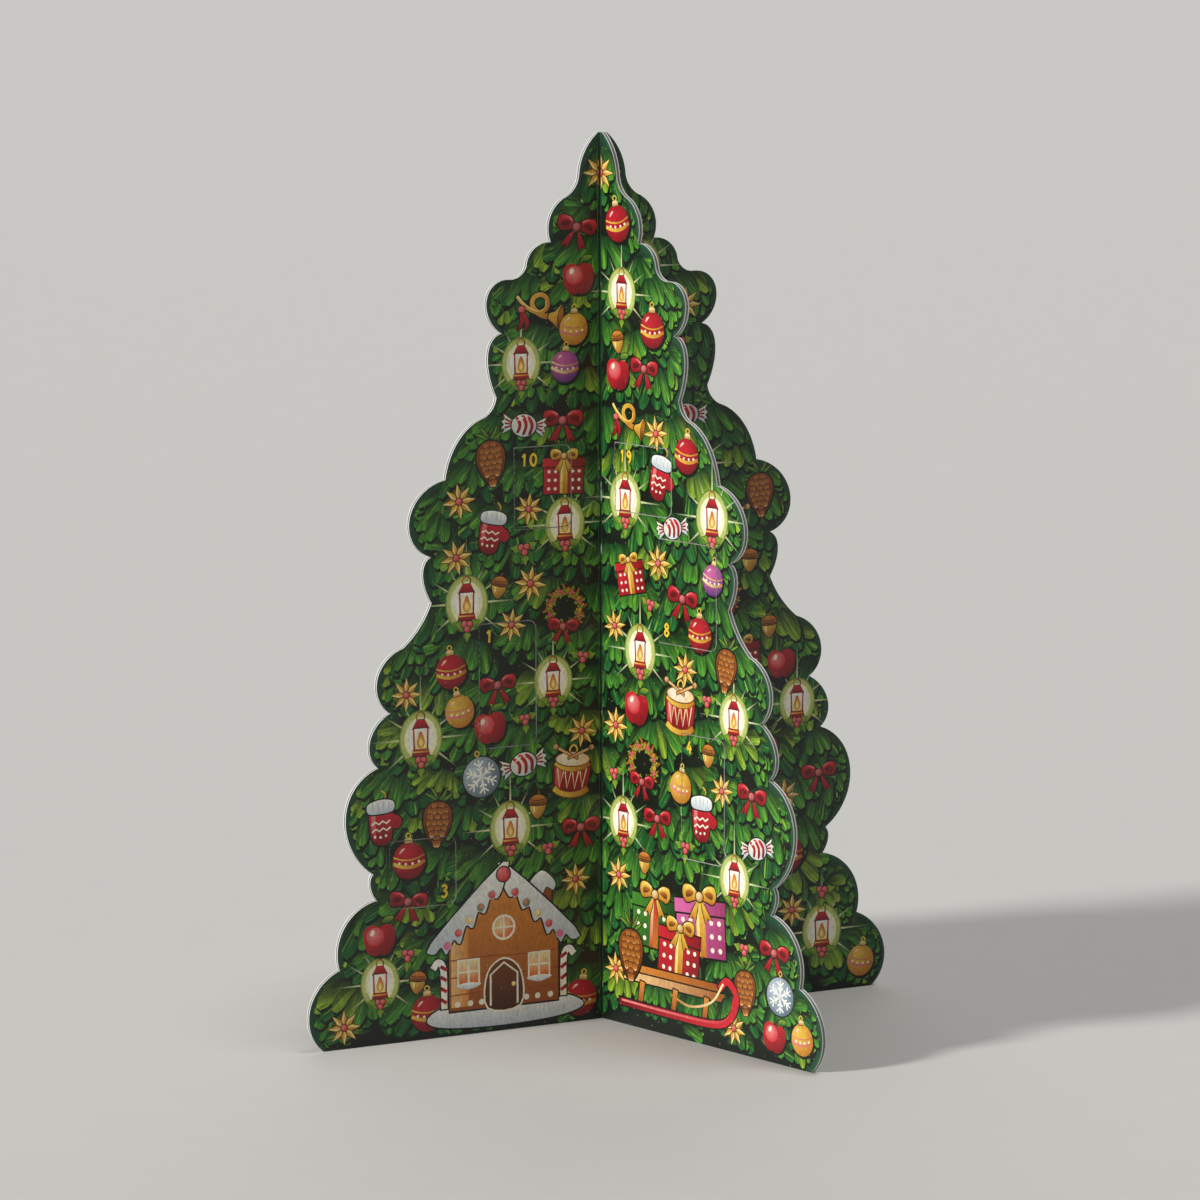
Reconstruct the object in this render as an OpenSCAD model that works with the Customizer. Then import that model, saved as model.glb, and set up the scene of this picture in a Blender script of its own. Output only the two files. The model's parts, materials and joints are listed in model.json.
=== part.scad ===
// Stand-up advent calendar: four tree-shaped pages that fold at one spine and stand in an X.
// Each page is a printed sheet with doors over a picture sheet. Pages are glued back to back,
// so every fin of the X is two boards thick.
// Millimetres, +Z up, the front page faces -Y, the origin is under the spine on the table.

/* [Tree] */
// Height of the spine, from the table to the tip
tree_h = 330; // [290:5:400]
// Reach of a fin from the spine, which the lobes of the rim are drawn to
half_w = 120; // [105:1:140]
// Angle between the two halves of the front page as it stands
front_opening = 103; // [90:1:120]
// Width of a fin at its blunt tip
tip_w = 1; // [0.6:0.1:2]

/* [Boards] */
// Thickness of a printed sheet with doors
door_sheet_t = 0.5; // [0.3:0.05:0.8]
// Thickness of a picture sheet behind the doors
picture_sheet_t = 0.35; // [0.2:0.05:0.6]
// Thickness of the glue film between two boards
glue_t = 0.2; // [0.1:0.05:0.4]
// Bare margin between the glue film and the rim
glue_margin = 2; // [1:0.5:4]

/* [Spine] */
// Distance from the spine to the inner edges of the boards
spine_gap = 0.2; // [0.15:0.05:0.4]
// Height of a fold line above the printed faces that it joins
fold_rise = 0.15; // [0.15:0.05:0.3]
// Play between a crease and the sheets beside it
crease_play = 0.1; // [0.05:0.01:0.14]

/* [Doors] */
// Width of a narrow door
narrow_w = 23; // [19:0.5:26]
// Width of a middling door
middle_w = 26.5; // [22:0.5:30]
// Width of a wide door
wide_w = 31; // [26:0.5:34]
// Width of the great door for the last day
great_w = 38; // [30:0.5:42]
// Height of a low door
low_h = 25; // [20:0.5:28]
// Height of a middling door
middle_h = 30; // [25:0.5:34]
// Height of a high door
high_h = 38; // [30:0.5:41]
// Height of a tall door
tall_h = 46; // [40:0.5:50]
// Width of the cut round a door
cut_w = 0.2; // [0.15:0.05:0.4]
// Radius of a door's two free corners
door_corner_r = 3; // [1:0.5:5]
// Play between a closed door and the picture behind it
door_play = 0.05; // [0.02:0.01:0.1]
// Play between the raised score that a door turns on and the far side of its cut
score_play = 0.08; // [0.04:0.01:0.1]

/* [Hidden] */
// Pages run counterclockwise from the front, seen from above. Fin k carries the left half of
// page k on one side and the right half of the page before it on the other.
pages = ["front", "right", "back", "left"];
halves = ["left", "right"];
page_count = len(pages);

// Points of the rim from the tip down, each with the lobe that follows it:
// reach in % of half_w, height in % of tree_h, lobe's rise over its half chord, lean along it.
// A negative rise is a hollow that runs smoothly from one lobe into the next.
rim = [
    [0.8, 100.0, 0.20, 0.0],
    [7.2, 95.4, -0.28, 0.0],
    [12.4, 92.9, 0.38, 0.0],
    [16.9, 88.1, 0.42, 0.0],
    [25.2, 85.6, -0.36, 0.0],
    [31.2, 84.2, 0.80, -0.15],
    [33.6, 78.3, 0.42, -0.7],
    [35.6, 71.3, -0.25, 0.0],
    [39.8, 69.1, 0.28, -0.3],
    [53.0, 62.5, 0.80, 0.15],
    [57.9, 54.1, 0.40, -0.6],
    [57.9, 49.0, -0.13, 0.0],
    [67.5, 44.2, 0.64, 0.1],
    [72.1, 37.1, 0.54, 0.2],
    [76.2, 31.1, 0.62, -0.1],
    [78.2, 19.3, 0.35, -0.5],
    [77.1, 16.3, 0.45, 0.0],
    [89.7, 8.9, 0.58, 0.1],
    [95.2, 0.0, 0.00, 0.0]
];
lobe_steps = 10;
corner_steps = 4;

// Doors: number, page, half, middle in % of half_w, middle in % of tree_h, width, height
doors = [
    [10, "front", "left", 20.0, 61.0, narrow_w, middle_h],
    [1, "front", "left", 32.3, 39.2, narrow_w, tall_h],
    [3, "front", "left", 61.5, 18.9, middle_w, low_h],
    [19, "front", "right", 19.4, 62.0, wide_w, low_h],
    [8, "front", "right", 39.8, 50.0, wide_w, high_h],
    [4, "front", "right", 46.8, 27.5, narrow_w, tall_h],
    [22, "right", "left", 22.5, 62.5, middle_w, middle_h],
    [13, "right", "left", 39.0, 44.5, middle_w, high_h],
    [6, "right", "left", 58.0, 17.5, wide_w, low_h],
    [16, "right", "right", 24.0, 61.0, narrow_w, middle_h],
    [2, "right", "right", 33.0, 38.5, wide_w, middle_h],
    [11, "right", "right", 55.0, 19.5, middle_w, high_h],
    [7, "back", "left", 21.0, 63.0, middle_w, low_h],
    [20, "back", "left", 44.0, 47.5, narrow_w, high_h],
    [14, "back", "left", 45.0, 21.0, wide_w, middle_h],
    [24, "back", "right", 37.0, 24.0, great_w, tall_h],
    [5, "back", "right", 42.0, 49.0, middle_w, middle_h],
    [17, "back", "right", 20.0, 62.0, middle_w, middle_h],
    [12, "left", "left", 21.5, 61.5, middle_w, middle_h],
    [23, "left", "left", 47.0, 41.0, wide_w, low_h],
    [9, "left", "left", 55.0, 15.5, narrow_w, high_h],
    [18, "left", "right", 22.0, 63.0, middle_w, low_h],
    [15, "left", "right", 36.0, 43.0, middle_w, high_h],
    [21, "left", "right", 60.0, 19.0, middle_w, middle_h]
];

board_t = door_sheet_t + picture_sheet_t;
fin_t = 2 * board_t + glue_t;
picture_back = glue_t / 2;
picture_front = picture_back + picture_sheet_t;
face = fin_t / 2;
crease_r = norm([spine_gap, fold_rise]) - crease_play;
score_r = cut_w - score_play;

// The four fold lines are the corners of a rhombus with a fin across each side.
half_opening = front_opening / 2;
fold_side = fin_t + 2 * fold_rise;
fold_x = fold_side * cos(half_opening);
fold_y = fold_side * sin(half_opening);
folds = [[0, -fold_y], [fold_x, 0], [0, fold_y], [-fold_x, 0]];
fin_angles = [-90 - half_opening, -90 + half_opening, 90 - half_opening, 90 + half_opening];

function page_index(page) = search([page], pages)[0];
function fin_of(page, half) = (page_index(page) + (half == "left" ? 0 : 1)) % page_count;
function side_of(half) = half == "left" ? 1 : -1;
function fold_before(k) = folds[(k + page_count - 1) % page_count];

function page_name(page, half) = str(page, "_page_", half);
function picture_name(page, half) = str(page, "_picture_", half);
function glue_name(k) = str("fin_glue_", k + 1);
function crease_name(page) = str(page, "_crease");
function door_name(d) = str("door_", d[0]);

// Outline of a fin: u runs out from the spine, z up
function rim_point(i) = [rim[i][0] * half_w / 100, rim[i][1] * tree_h / 100];

function lobe(a, b, bulge, lean) =
    let (
        chord = norm(b - a),
        along = (b - a) / chord,
        out = [-along.y, along.x],
        rise = bulge * chord / 2,
        radius = (chord * chord / 4 + rise * rise) / (2 * rise),
        sweep = 2 * atan(bulge)
    )
    [for (j = [0 : lobe_steps - 1])
        let (
            turn = sweep * (2 * j / lobe_steps - 1),
            off = radius * cos(turn) - radius + rise
        )
        a + along * (chord / 2 + radius * sin(turn) + lean * off) + out * off];

fin_outline = concat(
    [[spine_gap, 0], [spine_gap, tree_h], [tip_w, tree_h]],
    [for (i = [0 : len(rim) - 2])
        let (points = lobe(rim_point(i), rim_point(i + 1), rim[i][2], rim[i][3]))
        for (j = [(i == 0 ? 1 : 0) : lobe_steps - 1]) points[j]],
    [rim_point(len(rim) - 1)]
);

// The film stops short of the notches and hollows, so the lobes of the two boards are free.
function lobe_middle(i) =
    lobe(rim_point(i), rim_point(i + 1), rim[i][2], rim[i][3])[lobe_steps / 2];

glue_outline = concat(
    [[spine_gap + glue_margin, glue_margin], [spine_gap + glue_margin, rim_point(1).y]],
    [for (i = [1 : len(rim) - 2])
        each concat(
            [rim_point(i) - [glue_margin, 0]],
            rim[i][2] < 0 ? [lobe_middle(i) - [glue_margin, 0]] : []
        )],
    [rim_point(len(rim) - 1) + [-glue_margin, glue_margin]]
);

// Doors turn on their left edge, as seen by someone facing the page.
function door_w(d) = d[5];
function door_h(d) = d[6];
function free_way(d) = -side_of(d[2]);
function hinge_u(d) = d[3] * half_w / 100 - free_way(d) * door_w(d) / 2;
function door_low(d) = d[4] * tree_h / 100 - door_h(d) / 2;

function corner(middle, radius, way, from) =
    [for (j = [0 : corner_steps])
        let (turn = from + 90 * j / corner_steps)
        middle + radius * [way * cos(turn), sin(turn)]];

function door_outline(d, grow) =
    let (
        way = free_way(d),
        hinge = hinge_u(d) - way * grow,
        low = door_low(d),
        high = low + door_h(d),
        middle_u = hinge_u(d) + way * (door_w(d) - door_corner_r)
    )
    concat(
        [[hinge, high + grow], [hinge, low - grow]],
        corner([middle_u, low + door_corner_r], door_corner_r + grow, way, -90),
        corner([middle_u, high - door_corner_r], door_corner_r + grow, way, 0)
    );

function doors_on(page, half) = [for (d = doors) if (d[1] == page && d[2] == half) d];

// Stands what is drawn in a fin's own frame on that fin: X out from the spine, Y across the fin
module on_fin(k) {
    translate((folds[k] + fold_before(k)) / 2)
        rotate(fin_angles[k])
            children();
}

// A layer of a fin between two depths, from a flat outline
module layer(from, to) {
    translate([0, max(from, to), 0])
        rotate([90, 0, 0])
            linear_extrude(abs(to - from))
                children();
}

// Half a page: the printed sheet with an opening for each door
module page_half(page, half) {
    side = side_of(half);
    color("forestgreen")
        on_fin(fin_of(page, half))
            layer(side * picture_front, side * face)
                difference() {
                    polygon(fin_outline);
                    for (d = doors_on(page, half))
                        polygon(door_outline(d, cut_w));
                }
}

// The sheet behind it, with the pictures that the doors cover
module picture_half(page, half) {
    side = side_of(half);
    color("wheat")
        on_fin(fin_of(page, half))
            layer(side * picture_back, side * picture_front)
                polygon(fin_outline);
}

// The glue film that holds a fin's two boards together
module fin_glue(k) {
    color("ivory")
        on_fin(k)
            layer(-picture_back, picture_back)
                polygon(glue_outline);
}

// The fold of a page at the spine
module crease(page) {
    color("darkgreen")
        translate(folds[page_index(page)])
            cylinder(r = crease_r, h = tree_h, $fn = 24);
}

// A door: a flap of the printed sheet with the raised score that it turns on
module door(d) {
    side = side_of(d[2]);
    color("seagreen")
        on_fin(fin_of(d[1], d[2]))
            union() {
                layer(side * (picture_front + door_play), side * face)
                    polygon(door_outline(d, 0));
                translate([hinge_u(d), side * face, door_low(d)])
                    cylinder(r = score_r, h = door_h(d), $fn = 24);
            }
}

for (page = pages) for (half = halves)
    page_half(page, half);
for (page = pages) for (half = halves)
    picture_half(page, half);
for (k = [0 : page_count - 1])
    fin_glue(k);
for (page = pages)
    crease(page);
for (d = doors)
    door(d);
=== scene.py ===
import bmesh
import bpy
import json
import math
import random
import numpy as np
from contextlib import contextmanager
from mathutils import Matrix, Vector
from mathutils.geometry import delaunay_2d_cdt

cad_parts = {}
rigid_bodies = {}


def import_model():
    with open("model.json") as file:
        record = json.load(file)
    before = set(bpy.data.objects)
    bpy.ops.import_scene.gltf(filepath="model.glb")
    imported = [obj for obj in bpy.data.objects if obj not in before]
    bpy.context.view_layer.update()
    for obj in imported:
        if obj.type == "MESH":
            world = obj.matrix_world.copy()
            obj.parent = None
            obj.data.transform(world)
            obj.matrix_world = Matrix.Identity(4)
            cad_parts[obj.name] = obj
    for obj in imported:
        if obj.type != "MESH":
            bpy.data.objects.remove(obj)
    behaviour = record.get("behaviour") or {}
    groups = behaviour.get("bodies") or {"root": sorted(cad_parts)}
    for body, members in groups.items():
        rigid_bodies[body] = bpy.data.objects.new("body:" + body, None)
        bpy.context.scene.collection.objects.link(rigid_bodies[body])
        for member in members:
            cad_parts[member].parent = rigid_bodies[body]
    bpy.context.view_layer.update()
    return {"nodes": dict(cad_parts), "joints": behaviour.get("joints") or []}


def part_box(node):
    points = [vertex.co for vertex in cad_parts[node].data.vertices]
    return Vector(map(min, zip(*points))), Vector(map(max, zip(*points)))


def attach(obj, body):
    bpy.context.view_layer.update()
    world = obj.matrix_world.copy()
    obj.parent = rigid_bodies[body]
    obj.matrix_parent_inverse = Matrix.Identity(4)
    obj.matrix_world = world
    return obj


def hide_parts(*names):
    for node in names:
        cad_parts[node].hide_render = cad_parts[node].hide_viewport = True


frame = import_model()
print("frame loaded:", len(frame["nodes"]), "nodes")

mm = 0.001  # the art and the sheets are worked out in millimetres
tiny = 1e-9  # the least length to divide by

# where the fins stand, read back from the hinges of the frame
pages = ["front", "right", "back", "left"]
halves = ["left", "right"]
fins = ["front_left_fin", "front_right_fin", "back_right_fin", "back_left_fin"]
hinges = {j["name"]: j for j in frame["joints"]}
foldX = hinges["right_fold"]["pos_m"][0] / mm
foldY = -hinges["front_fold"]["pos_m"][1] / mm
spread = math.atan2(foldY, foldX)
folds = [(0, -foldY), (foldX, 0), (0, foldY), (-foldX, 0)]
finTurns = [-math.pi / 2 - spread, -math.pi / 2 + spread, math.pi / 2 - spread, math.pi / 2 + spread]


def finPlace(page, half):
    k = (pages.index(page) + (half == "right")) % 4
    turn = finTurns[k]
    side = 1 if half == "left" else -1
    return {
        "fin": fins[k],
        "mid": (np.array(folds[k]) + np.array(folds[k - 1])) / 2,
        "right": -side * np.array([math.cos(turn), math.sin(turn)]),  # to the right on the page
        "out": side * np.array([-math.sin(turn), math.cos(turn)]),  # out of the page
    }


def onPage(node, place):
    co = np.array([v.co[:] for v in frame["nodes"][node].data.vertices]) / mm
    flat = co[:, :2] - place["mid"]
    return flat @ place["right"], co[:, 2], flat @ place["out"]


def toWorld(place, xz, depth):
    xz = np.asarray(xz, float)
    flat = place["mid"] + xz[:, :1] * place["right"] + np.reshape(depth, (-1, 1)) * place["out"]
    return np.column_stack([flat, xz[:, 1]]) * mm


# outline of a fin, in the part's own proportions
tree = {
    "height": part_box("front_page_left")[1].z / mm,
    "reach": 120.0,
    "spineGap": 0.2,
    "tipWidth": 1.0,
    "lobeSteps": 22,
    # reach %, height %, rise of the next lobe over its half chord, lean
    "rim": [
        (0.8, 100.0, 0.20, 0.0), (7.2, 95.4, -0.28, 0.0), (12.4, 92.9, 0.38, 0.0),
        (16.9, 88.1, 0.42, 0.0), (25.2, 85.6, -0.36, 0.0), (31.2, 84.2, 0.80, -0.15),
        (33.6, 78.3, 0.42, -0.7), (35.6, 71.3, -0.25, 0.0), (39.8, 69.1, 0.28, -0.3),
        (53.0, 62.5, 0.80, 0.15), (57.9, 54.1, 0.40, -0.6), (57.9, 49.0, -0.13, 0.0),
        (67.5, 44.2, 0.64, 0.1), (72.1, 37.1, 0.54, 0.2), (76.2, 31.1, 0.62, -0.1),
        (78.2, 19.3, 0.35, -0.5), (77.1, 16.3, 0.45, 0.0), (89.7, 8.9, 0.58, 0.1),
        (95.2, 0.0, 0.00, 0.0),
    ],
}


def rimLine():
    spots = [np.array([r[0] * tree["reach"], r[1] * tree["height"]]) / 100 for r in tree["rim"]]
    line = [np.array([tree["tipWidth"], tree["height"]])]
    steps = tree["lobeSteps"]
    for i in range(len(spots) - 1):
        a, b = spots[i], spots[i + 1]
        bulge, lean = tree["rim"][i][2:]
        chord = np.linalg.norm(b - a)
        along = (b - a) / chord
        outward = np.array([-along[1], along[0]])
        rise = bulge * chord / 2
        radius = (chord ** 2 / 4 + rise ** 2) / (2 * rise)
        sweep = 2 * math.atan(bulge)
        for j in range(1 if i == 0 else 0, steps):
            turn = sweep * (2 * j / steps - 1)
            off = radius * math.cos(turn) - radius + rise
            line.append(a + along * (chord / 2 + radius * math.sin(turn) + lean * off) + outward * off)
    line.append(spots[-1])
    return np.array(line)


rimRight = rimLine()
rimLeft = rimRight * (-1, 1)
halfOutline = {
    "right": np.vstack([[tree["spineGap"], 0], rimRight[::-1], [tree["spineGap"], tree["height"]]]),
    "left": np.vstack([[-tree["spineGap"], tree["height"]], rimLeft, [-tree["spineGap"], 0]]),
}
pageOutline = np.vstack([rimRight[::-1], rimLeft])
rimSegments = np.stack([np.vstack([rimRight[:-1], rimLeft[:-1]]), np.vstack([rimRight[1:], rimLeft[1:]])])
lowEnd = np.minimum(rimRight[:-1, 1], rimRight[1:, 1])
highEnd = np.maximum(rimRight[:-1, 1], rimRight[1:, 1])
rimSpan = []  # least and greatest reach of the rim in each millimetre of height
for level in range(int(tree["height"])):
    near = np.flatnonzero((lowEnd <= level + 1.01) & (highEnd >= level - 0.01))
    reaches = np.concatenate([rimRight[near, 0], rimRight[near + 1, 0]])
    rimSpan.append((reaches.min(), reaches.max()))
rimSpan = np.array(rimSpan)


def covered(points, loop, ends=None):
    # True where a loop winds round a point, or where directed edges with their own ends do
    (x0, z0), (x1, z1) = loop.T, (np.roll(loop, -1, 0) if ends is None else ends).T
    px, pz = points[:, :1], points[:, 1:]
    side = (x1 - x0) * (pz - z0) - (px - x0) * (z1 - z0)
    up, down = (z0 <= pz) & (z1 > pz) & (side > 0), (z0 > pz) & (z1 <= pz) & (side < 0)
    return up.sum(1) != down.sum(1)


def rimDistance(points):
    a, b = rimSegments
    d = b - a
    square = (d * d).sum(1)
    gaps = []
    for some in np.array_split(points, len(points) // 1500 + 1):  # a part at a time saves memory
        rx, rz = some[:, :1] - a[:, 0], some[:, 1:] - a[:, 1]
        t = np.clip((rx * d[:, 0] + rz * d[:, 1]) / square, 0, 1)
        gaps.append(np.sqrt(((rx - t * d[:, 0]) ** 2 + (rz - t * d[:, 1]) ** 2).min(1)))
    return np.concatenate(gaps)


def rimGap(points):
    # distance from the rim, negative outside it
    points = np.reshape(np.asarray(points, float), (-1, 2))
    gap = rimDistance(points)
    return np.where(covered(points, pageOutline), gap, -gap)


# doors, read back from the frame: the hinge is on the left edge, x0
doorSet = {"cornerRadius": 3.0, "cornerSteps": 7, "cut": 0.2, "paleEdge": 0.08, "edgeStep": 2.0}


def doorsOn(page, half):
    place = finPlace(page, half)
    found = []
    for joint in frame["joints"]:
        name = joint["child"]
        if joint["parent"] != place["fin"] or not name.startswith("door_"):
            continue
        x, z, depth = onPage(name, place)
        if depth.mean() < 0:
            continue
        flat = depth < depth.min() + 0.05  # the plain back, without the raised score
        found.append({"name": name, "number": int(name.split("_")[1]), "back": depth.min(),
                      "x0": x[flat].min(), "x1": x[flat].max(), "z0": z[flat].min(), "z1": z[flat].max()})
    return sorted(found, key=lambda d: -d["z0"])


def divided(loop, step):
    points = []
    for a, b in zip(loop, np.roll(loop, -1, 0)):
        count = max(1, int(math.ceil(np.linalg.norm(b - a) / step)))
        points += [a + (b - a) * i / count for i in range(count)]
    return np.array(points)


def doorOutline(door, grow):
    r = doorSet["cornerRadius"]
    x0, x1 = door["x0"] - grow, door["x1"] - r
    low, high = door["z0"], door["z1"]
    turns = np.linspace(0, math.pi / 2, doorSet["cornerSteps"])
    lower = [(x1 + (r + grow) * math.sin(t), low + r - (r + grow) * math.cos(t)) for t in turns]
    upper = [(x1 + (r + grow) * math.cos(t), high - r + (r + grow) * math.sin(t)) for t in turns]
    return divided(np.array([(x0, high + grow), (x0, low - grow)] + lower + upper), doorSet["edgeStep"])


# inks
inks = {
    "ground": "#0b160b", "rimGreen": "#1f5033", "shade": "#0a150a", "firDeep": "#0f3419",
    "firMid": "#1b6129", "firBright": "#468a2a", "firLime": "#86a82d", "firGlint": "#b4c64c",
    # the pale ink of a thin painted highlight beside the fold
    "foldHighlightInk": "#3f7a4c",
    "red": "#cf2430", "redDeep": "#7a0f18", "redPale": "#ee8a86", "wine": "#4d0a10",
    "gold": "#f2c94e", "goldDeep": "#bd7420", "goldPale": "#fbecae", "brown": "#7b3f17", "bark": "#43210e",
    "ginger": "#dd8c35", "gingerDeep": "#9a4f1a", "biscuit": "#f2c888", "cream": "#fbf3da",
    "white": "#fffef4", "frost": "#c3cfd6", "slate": "#5f7482", "pink": "#dd6aa6", "pinkDeep": "#96305f",
    "plum": "#5e3579", "haloPale": "#f6f4bd", "haloEdge": "#a9b948", "haloRim": "#64812f",
    "flame": "#e2661c", "flameCore": "#ffdc78", "number": "#f4cf35", "paper": "#f3efe4",
    "cutPale": "#d5ddd0",
}


def linear(code):
    levels = [int(code[i:i + 2], 16) / 255 for i in (1, 3, 5)]
    return [c / 12.92 if c <= 0.04045 else ((c + 0.055) / 1.055) ** 2.4 for c in levels]


inkLinear = {name: linear(code) for name, code in inks.items()}
# how a shape's two inks run: not at all, from start to end, round its start, in from the rim, or in
# broken patches of worn board and painted highlight
fills = {"plain": 0, "along": 1, "round": 2, "rim": 3, "wornAndLit": 4}


# curves through points
def between(a, b, c, d, steps):
    t = np.arange(steps)[:, None, None] / steps
    square, cube = 2 * a - 5 * b + 4 * c - d, 3 * b - a - 3 * c + d
    curve = 0.5 * (2 * b + (c - a) * t + square * t ** 2 + cube * t ** 3)
    return curve.transpose(1, 0, 2).reshape(-1, 2)


def smoothLoop(points, steps=4):
    p = np.asarray(points, float)
    return between(np.roll(p, 1, 0), p, np.roll(p, -1, 0), np.roll(p, -2, 0), steps)


def smoothPath(points, steps=4):
    p = np.asarray(points, float)
    if len(p) < 3:
        return p
    q = np.vstack([2 * p[0] - p[1], p, 2 * p[-1] - p[-2]])
    return np.vstack([between(q[:-3], q[1:-2], q[2:-1], q[3:], steps), p[-1:]])


def grown(loop, by):
    loop = np.asarray(loop, float)
    ahead, behind = np.roll(loop, -1, 0) - loop, loop - np.roll(loop, 1, 0)
    normal = np.stack([ahead[:, 1] + behind[:, 1], -ahead[:, 0] - behind[:, 0]], 1)
    area = (loop[:, 0] * np.roll(loop[:, 1], -1) - np.roll(loop[:, 0], -1) * loop[:, 1]).sum()
    normal /= np.maximum(np.linalg.norm(normal, axis=1, keepdims=True), tiny)
    return loop + normal * (by if area > 0 else -by)


def heading(turn):
    return np.array([math.cos(math.radians(turn)), math.sin(math.radians(turn))])


def plank(low, z0, high, z1, x=0):
    # four corners about x: low and high are the half widths at z0 and z1
    return [(x - low, z0), (x + low, z0), (x + high, z1), (x - high, z1)]


def bothSides(half):
    return half + [(-x, z) for x, z in reversed(half) if x]


class Brush:
    # a stack of painted shapes on one page, the last on top
    def __init__(self):
        self.loops, self.specs = [], []
        self.places = [(np.zeros(2), np.eye(2), 1.0)]

    @contextmanager
    def at(self, x=0, z=0, size=1.0, turn=0.0, flip=False):
        origin, grid, scale = self.places[-1]
        a = math.radians(turn)
        local = size * np.array([[math.cos(a), math.sin(a)], [-math.sin(a), math.cos(a)]])
        if flip:
            local = np.diag([-1.0, 1.0]) @ local
        self.places.append((np.array([x, z]) @ grid + origin, local @ grid, scale * size))
        yield
        self.places.pop()

    def add(self, loop, ink, to=None, fill="plain", start=(0, 0), end=(0, 0), width=0.0, seed=0.0):
        origin, grid, scale = self.places[-1]
        a, b = np.array(start) @ grid + origin, np.array(end) @ grid + origin
        colours = (*inkLinear[ink], *inkLinear[to or ink])
        self.loops.append(np.asarray(loop, float) @ grid + origin)
        self.specs.append([fills[fill], *a, *b, *colours, width * scale, seed])

    def poly(self, loop, ink, to=None, start=None, end=None, edge=0.0, edgeInk="shade"):
        loop = np.asarray(loop, float)
        if edge:
            self.add(grown(loop, edge), edgeInk)
        mid = loop.mean(0)
        start = (mid[0], loop[:, 1].max()) if start is None else start
        end = (mid[0], loop[:, 1].min()) if end is None else end
        self.add(loop, ink, to, "along" if to else "plain", start, end)

    def blob(self, points, ink, to=None, steps=4, **more):
        self.poly(smoothLoop(points, steps), ink, to, **more)

    def oval(self, x, z, rx, rz, ink, to=None, turn=0.0, count=16, spot=(-0.3, 0.35), edge=0.0,
             edgeInk="shade"):
        t = np.arange(count) * 2 * math.pi / count
        c, s = math.cos(math.radians(turn)), math.sin(math.radians(turn))
        ring = np.stack([np.cos(t) * rx, np.sin(t) * rz], 1) @ np.array([[c, s], [-s, c]])
        if edge:
            self.add(grown(ring + (x, z), edge), edgeInk)
        if to is None:
            self.add(ring + (x, z), ink)
            return
        light = np.array([x + spot[0] * rx, z + spot[1] * rz])
        far = max(rx, rz) * (1 + 0.8 * math.hypot(*spot))
        for share in (1.0, 0.72, 0.42):  # rings, so that the inks blend round the light
            middle = np.array([x, z]) * share + light * (1 - share)
            self.add(ring * share + middle, ink, to, "round", light, light + (far, 0))

    def line(self, points, width, ink, to=None, taper=(1, 1), smooth=True, steps=4, edge=0.0,
             edgeInk="shade", seed=0.0):
        path = smoothPath(points, steps) if smooth else np.asarray(points, float)
        way = np.gradient(path, axis=0)
        way /= np.maximum(np.linalg.norm(way, axis=1, keepdims=True), tiny)
        normal = np.stack([-way[:, 1], way[:, 0]], 1)
        share = np.linspace(0, 1, len(path))
        widths = np.interp(share, np.linspace(0, 1, len(taper)), taper)[:, None] * width / 2
        if edge:
            wide = widths + edge
            ends = np.vstack([path[:1] - way[:1] * edge, path[1:-1], path[-1:] + way[-1:] * edge])
            self.add(np.vstack([ends + normal * wide, (ends - normal * wide)[::-1]]), edgeInk)
        loop = np.vstack([path + normal * widths, (path - normal * widths)[::-1]])
        self.add(loop, ink, to, "along" if to else "plain", path[0], path[-1], width / 2, seed)

    def dots(self, spots, radius, ink, count=8):
        for x, z in spots:
            self.oval(x, z, radius, radius, ink, count=count)


# ornaments, each drawn about its middle in millimetres
def holly(b):
    leaf = [(0, 0), (1.2, 1.5), (2.2, 1.0), (3.4, 1.9), (4.4, 1.0), (6.2, 0.2), (4.6, -0.7),
            (3.5, -1.6), (2.3, -0.8), (1.3, -1.4)]
    for turn in (18, 162, 268):
        with b.at(size=0.82, turn=turn):
            b.poly(leaf, "firMid", "firLime", start=(0, -1.5), end=(4, 1.6), edge=0.3)
            b.line([(0.4, 0), (5.4, 0.15)], 0.3, "firGlint", "firLime")
    for x, z in ((-0.9, 0.9), (1.0, 0.8), (0.1, -0.8)):
        b.oval(x, z, 1.05, 1.05, "redPale", "red", edge=0.25, count=10)


lanternSet = {
    "rays": [(90, 21), (0, 17), (180, 17), (32, 14), (148, 14), (-38, 15), (218, 15), (62, 13), (118, 13)],
    "rayFrom": 5.0, "glow": (0, 2),
}


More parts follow.
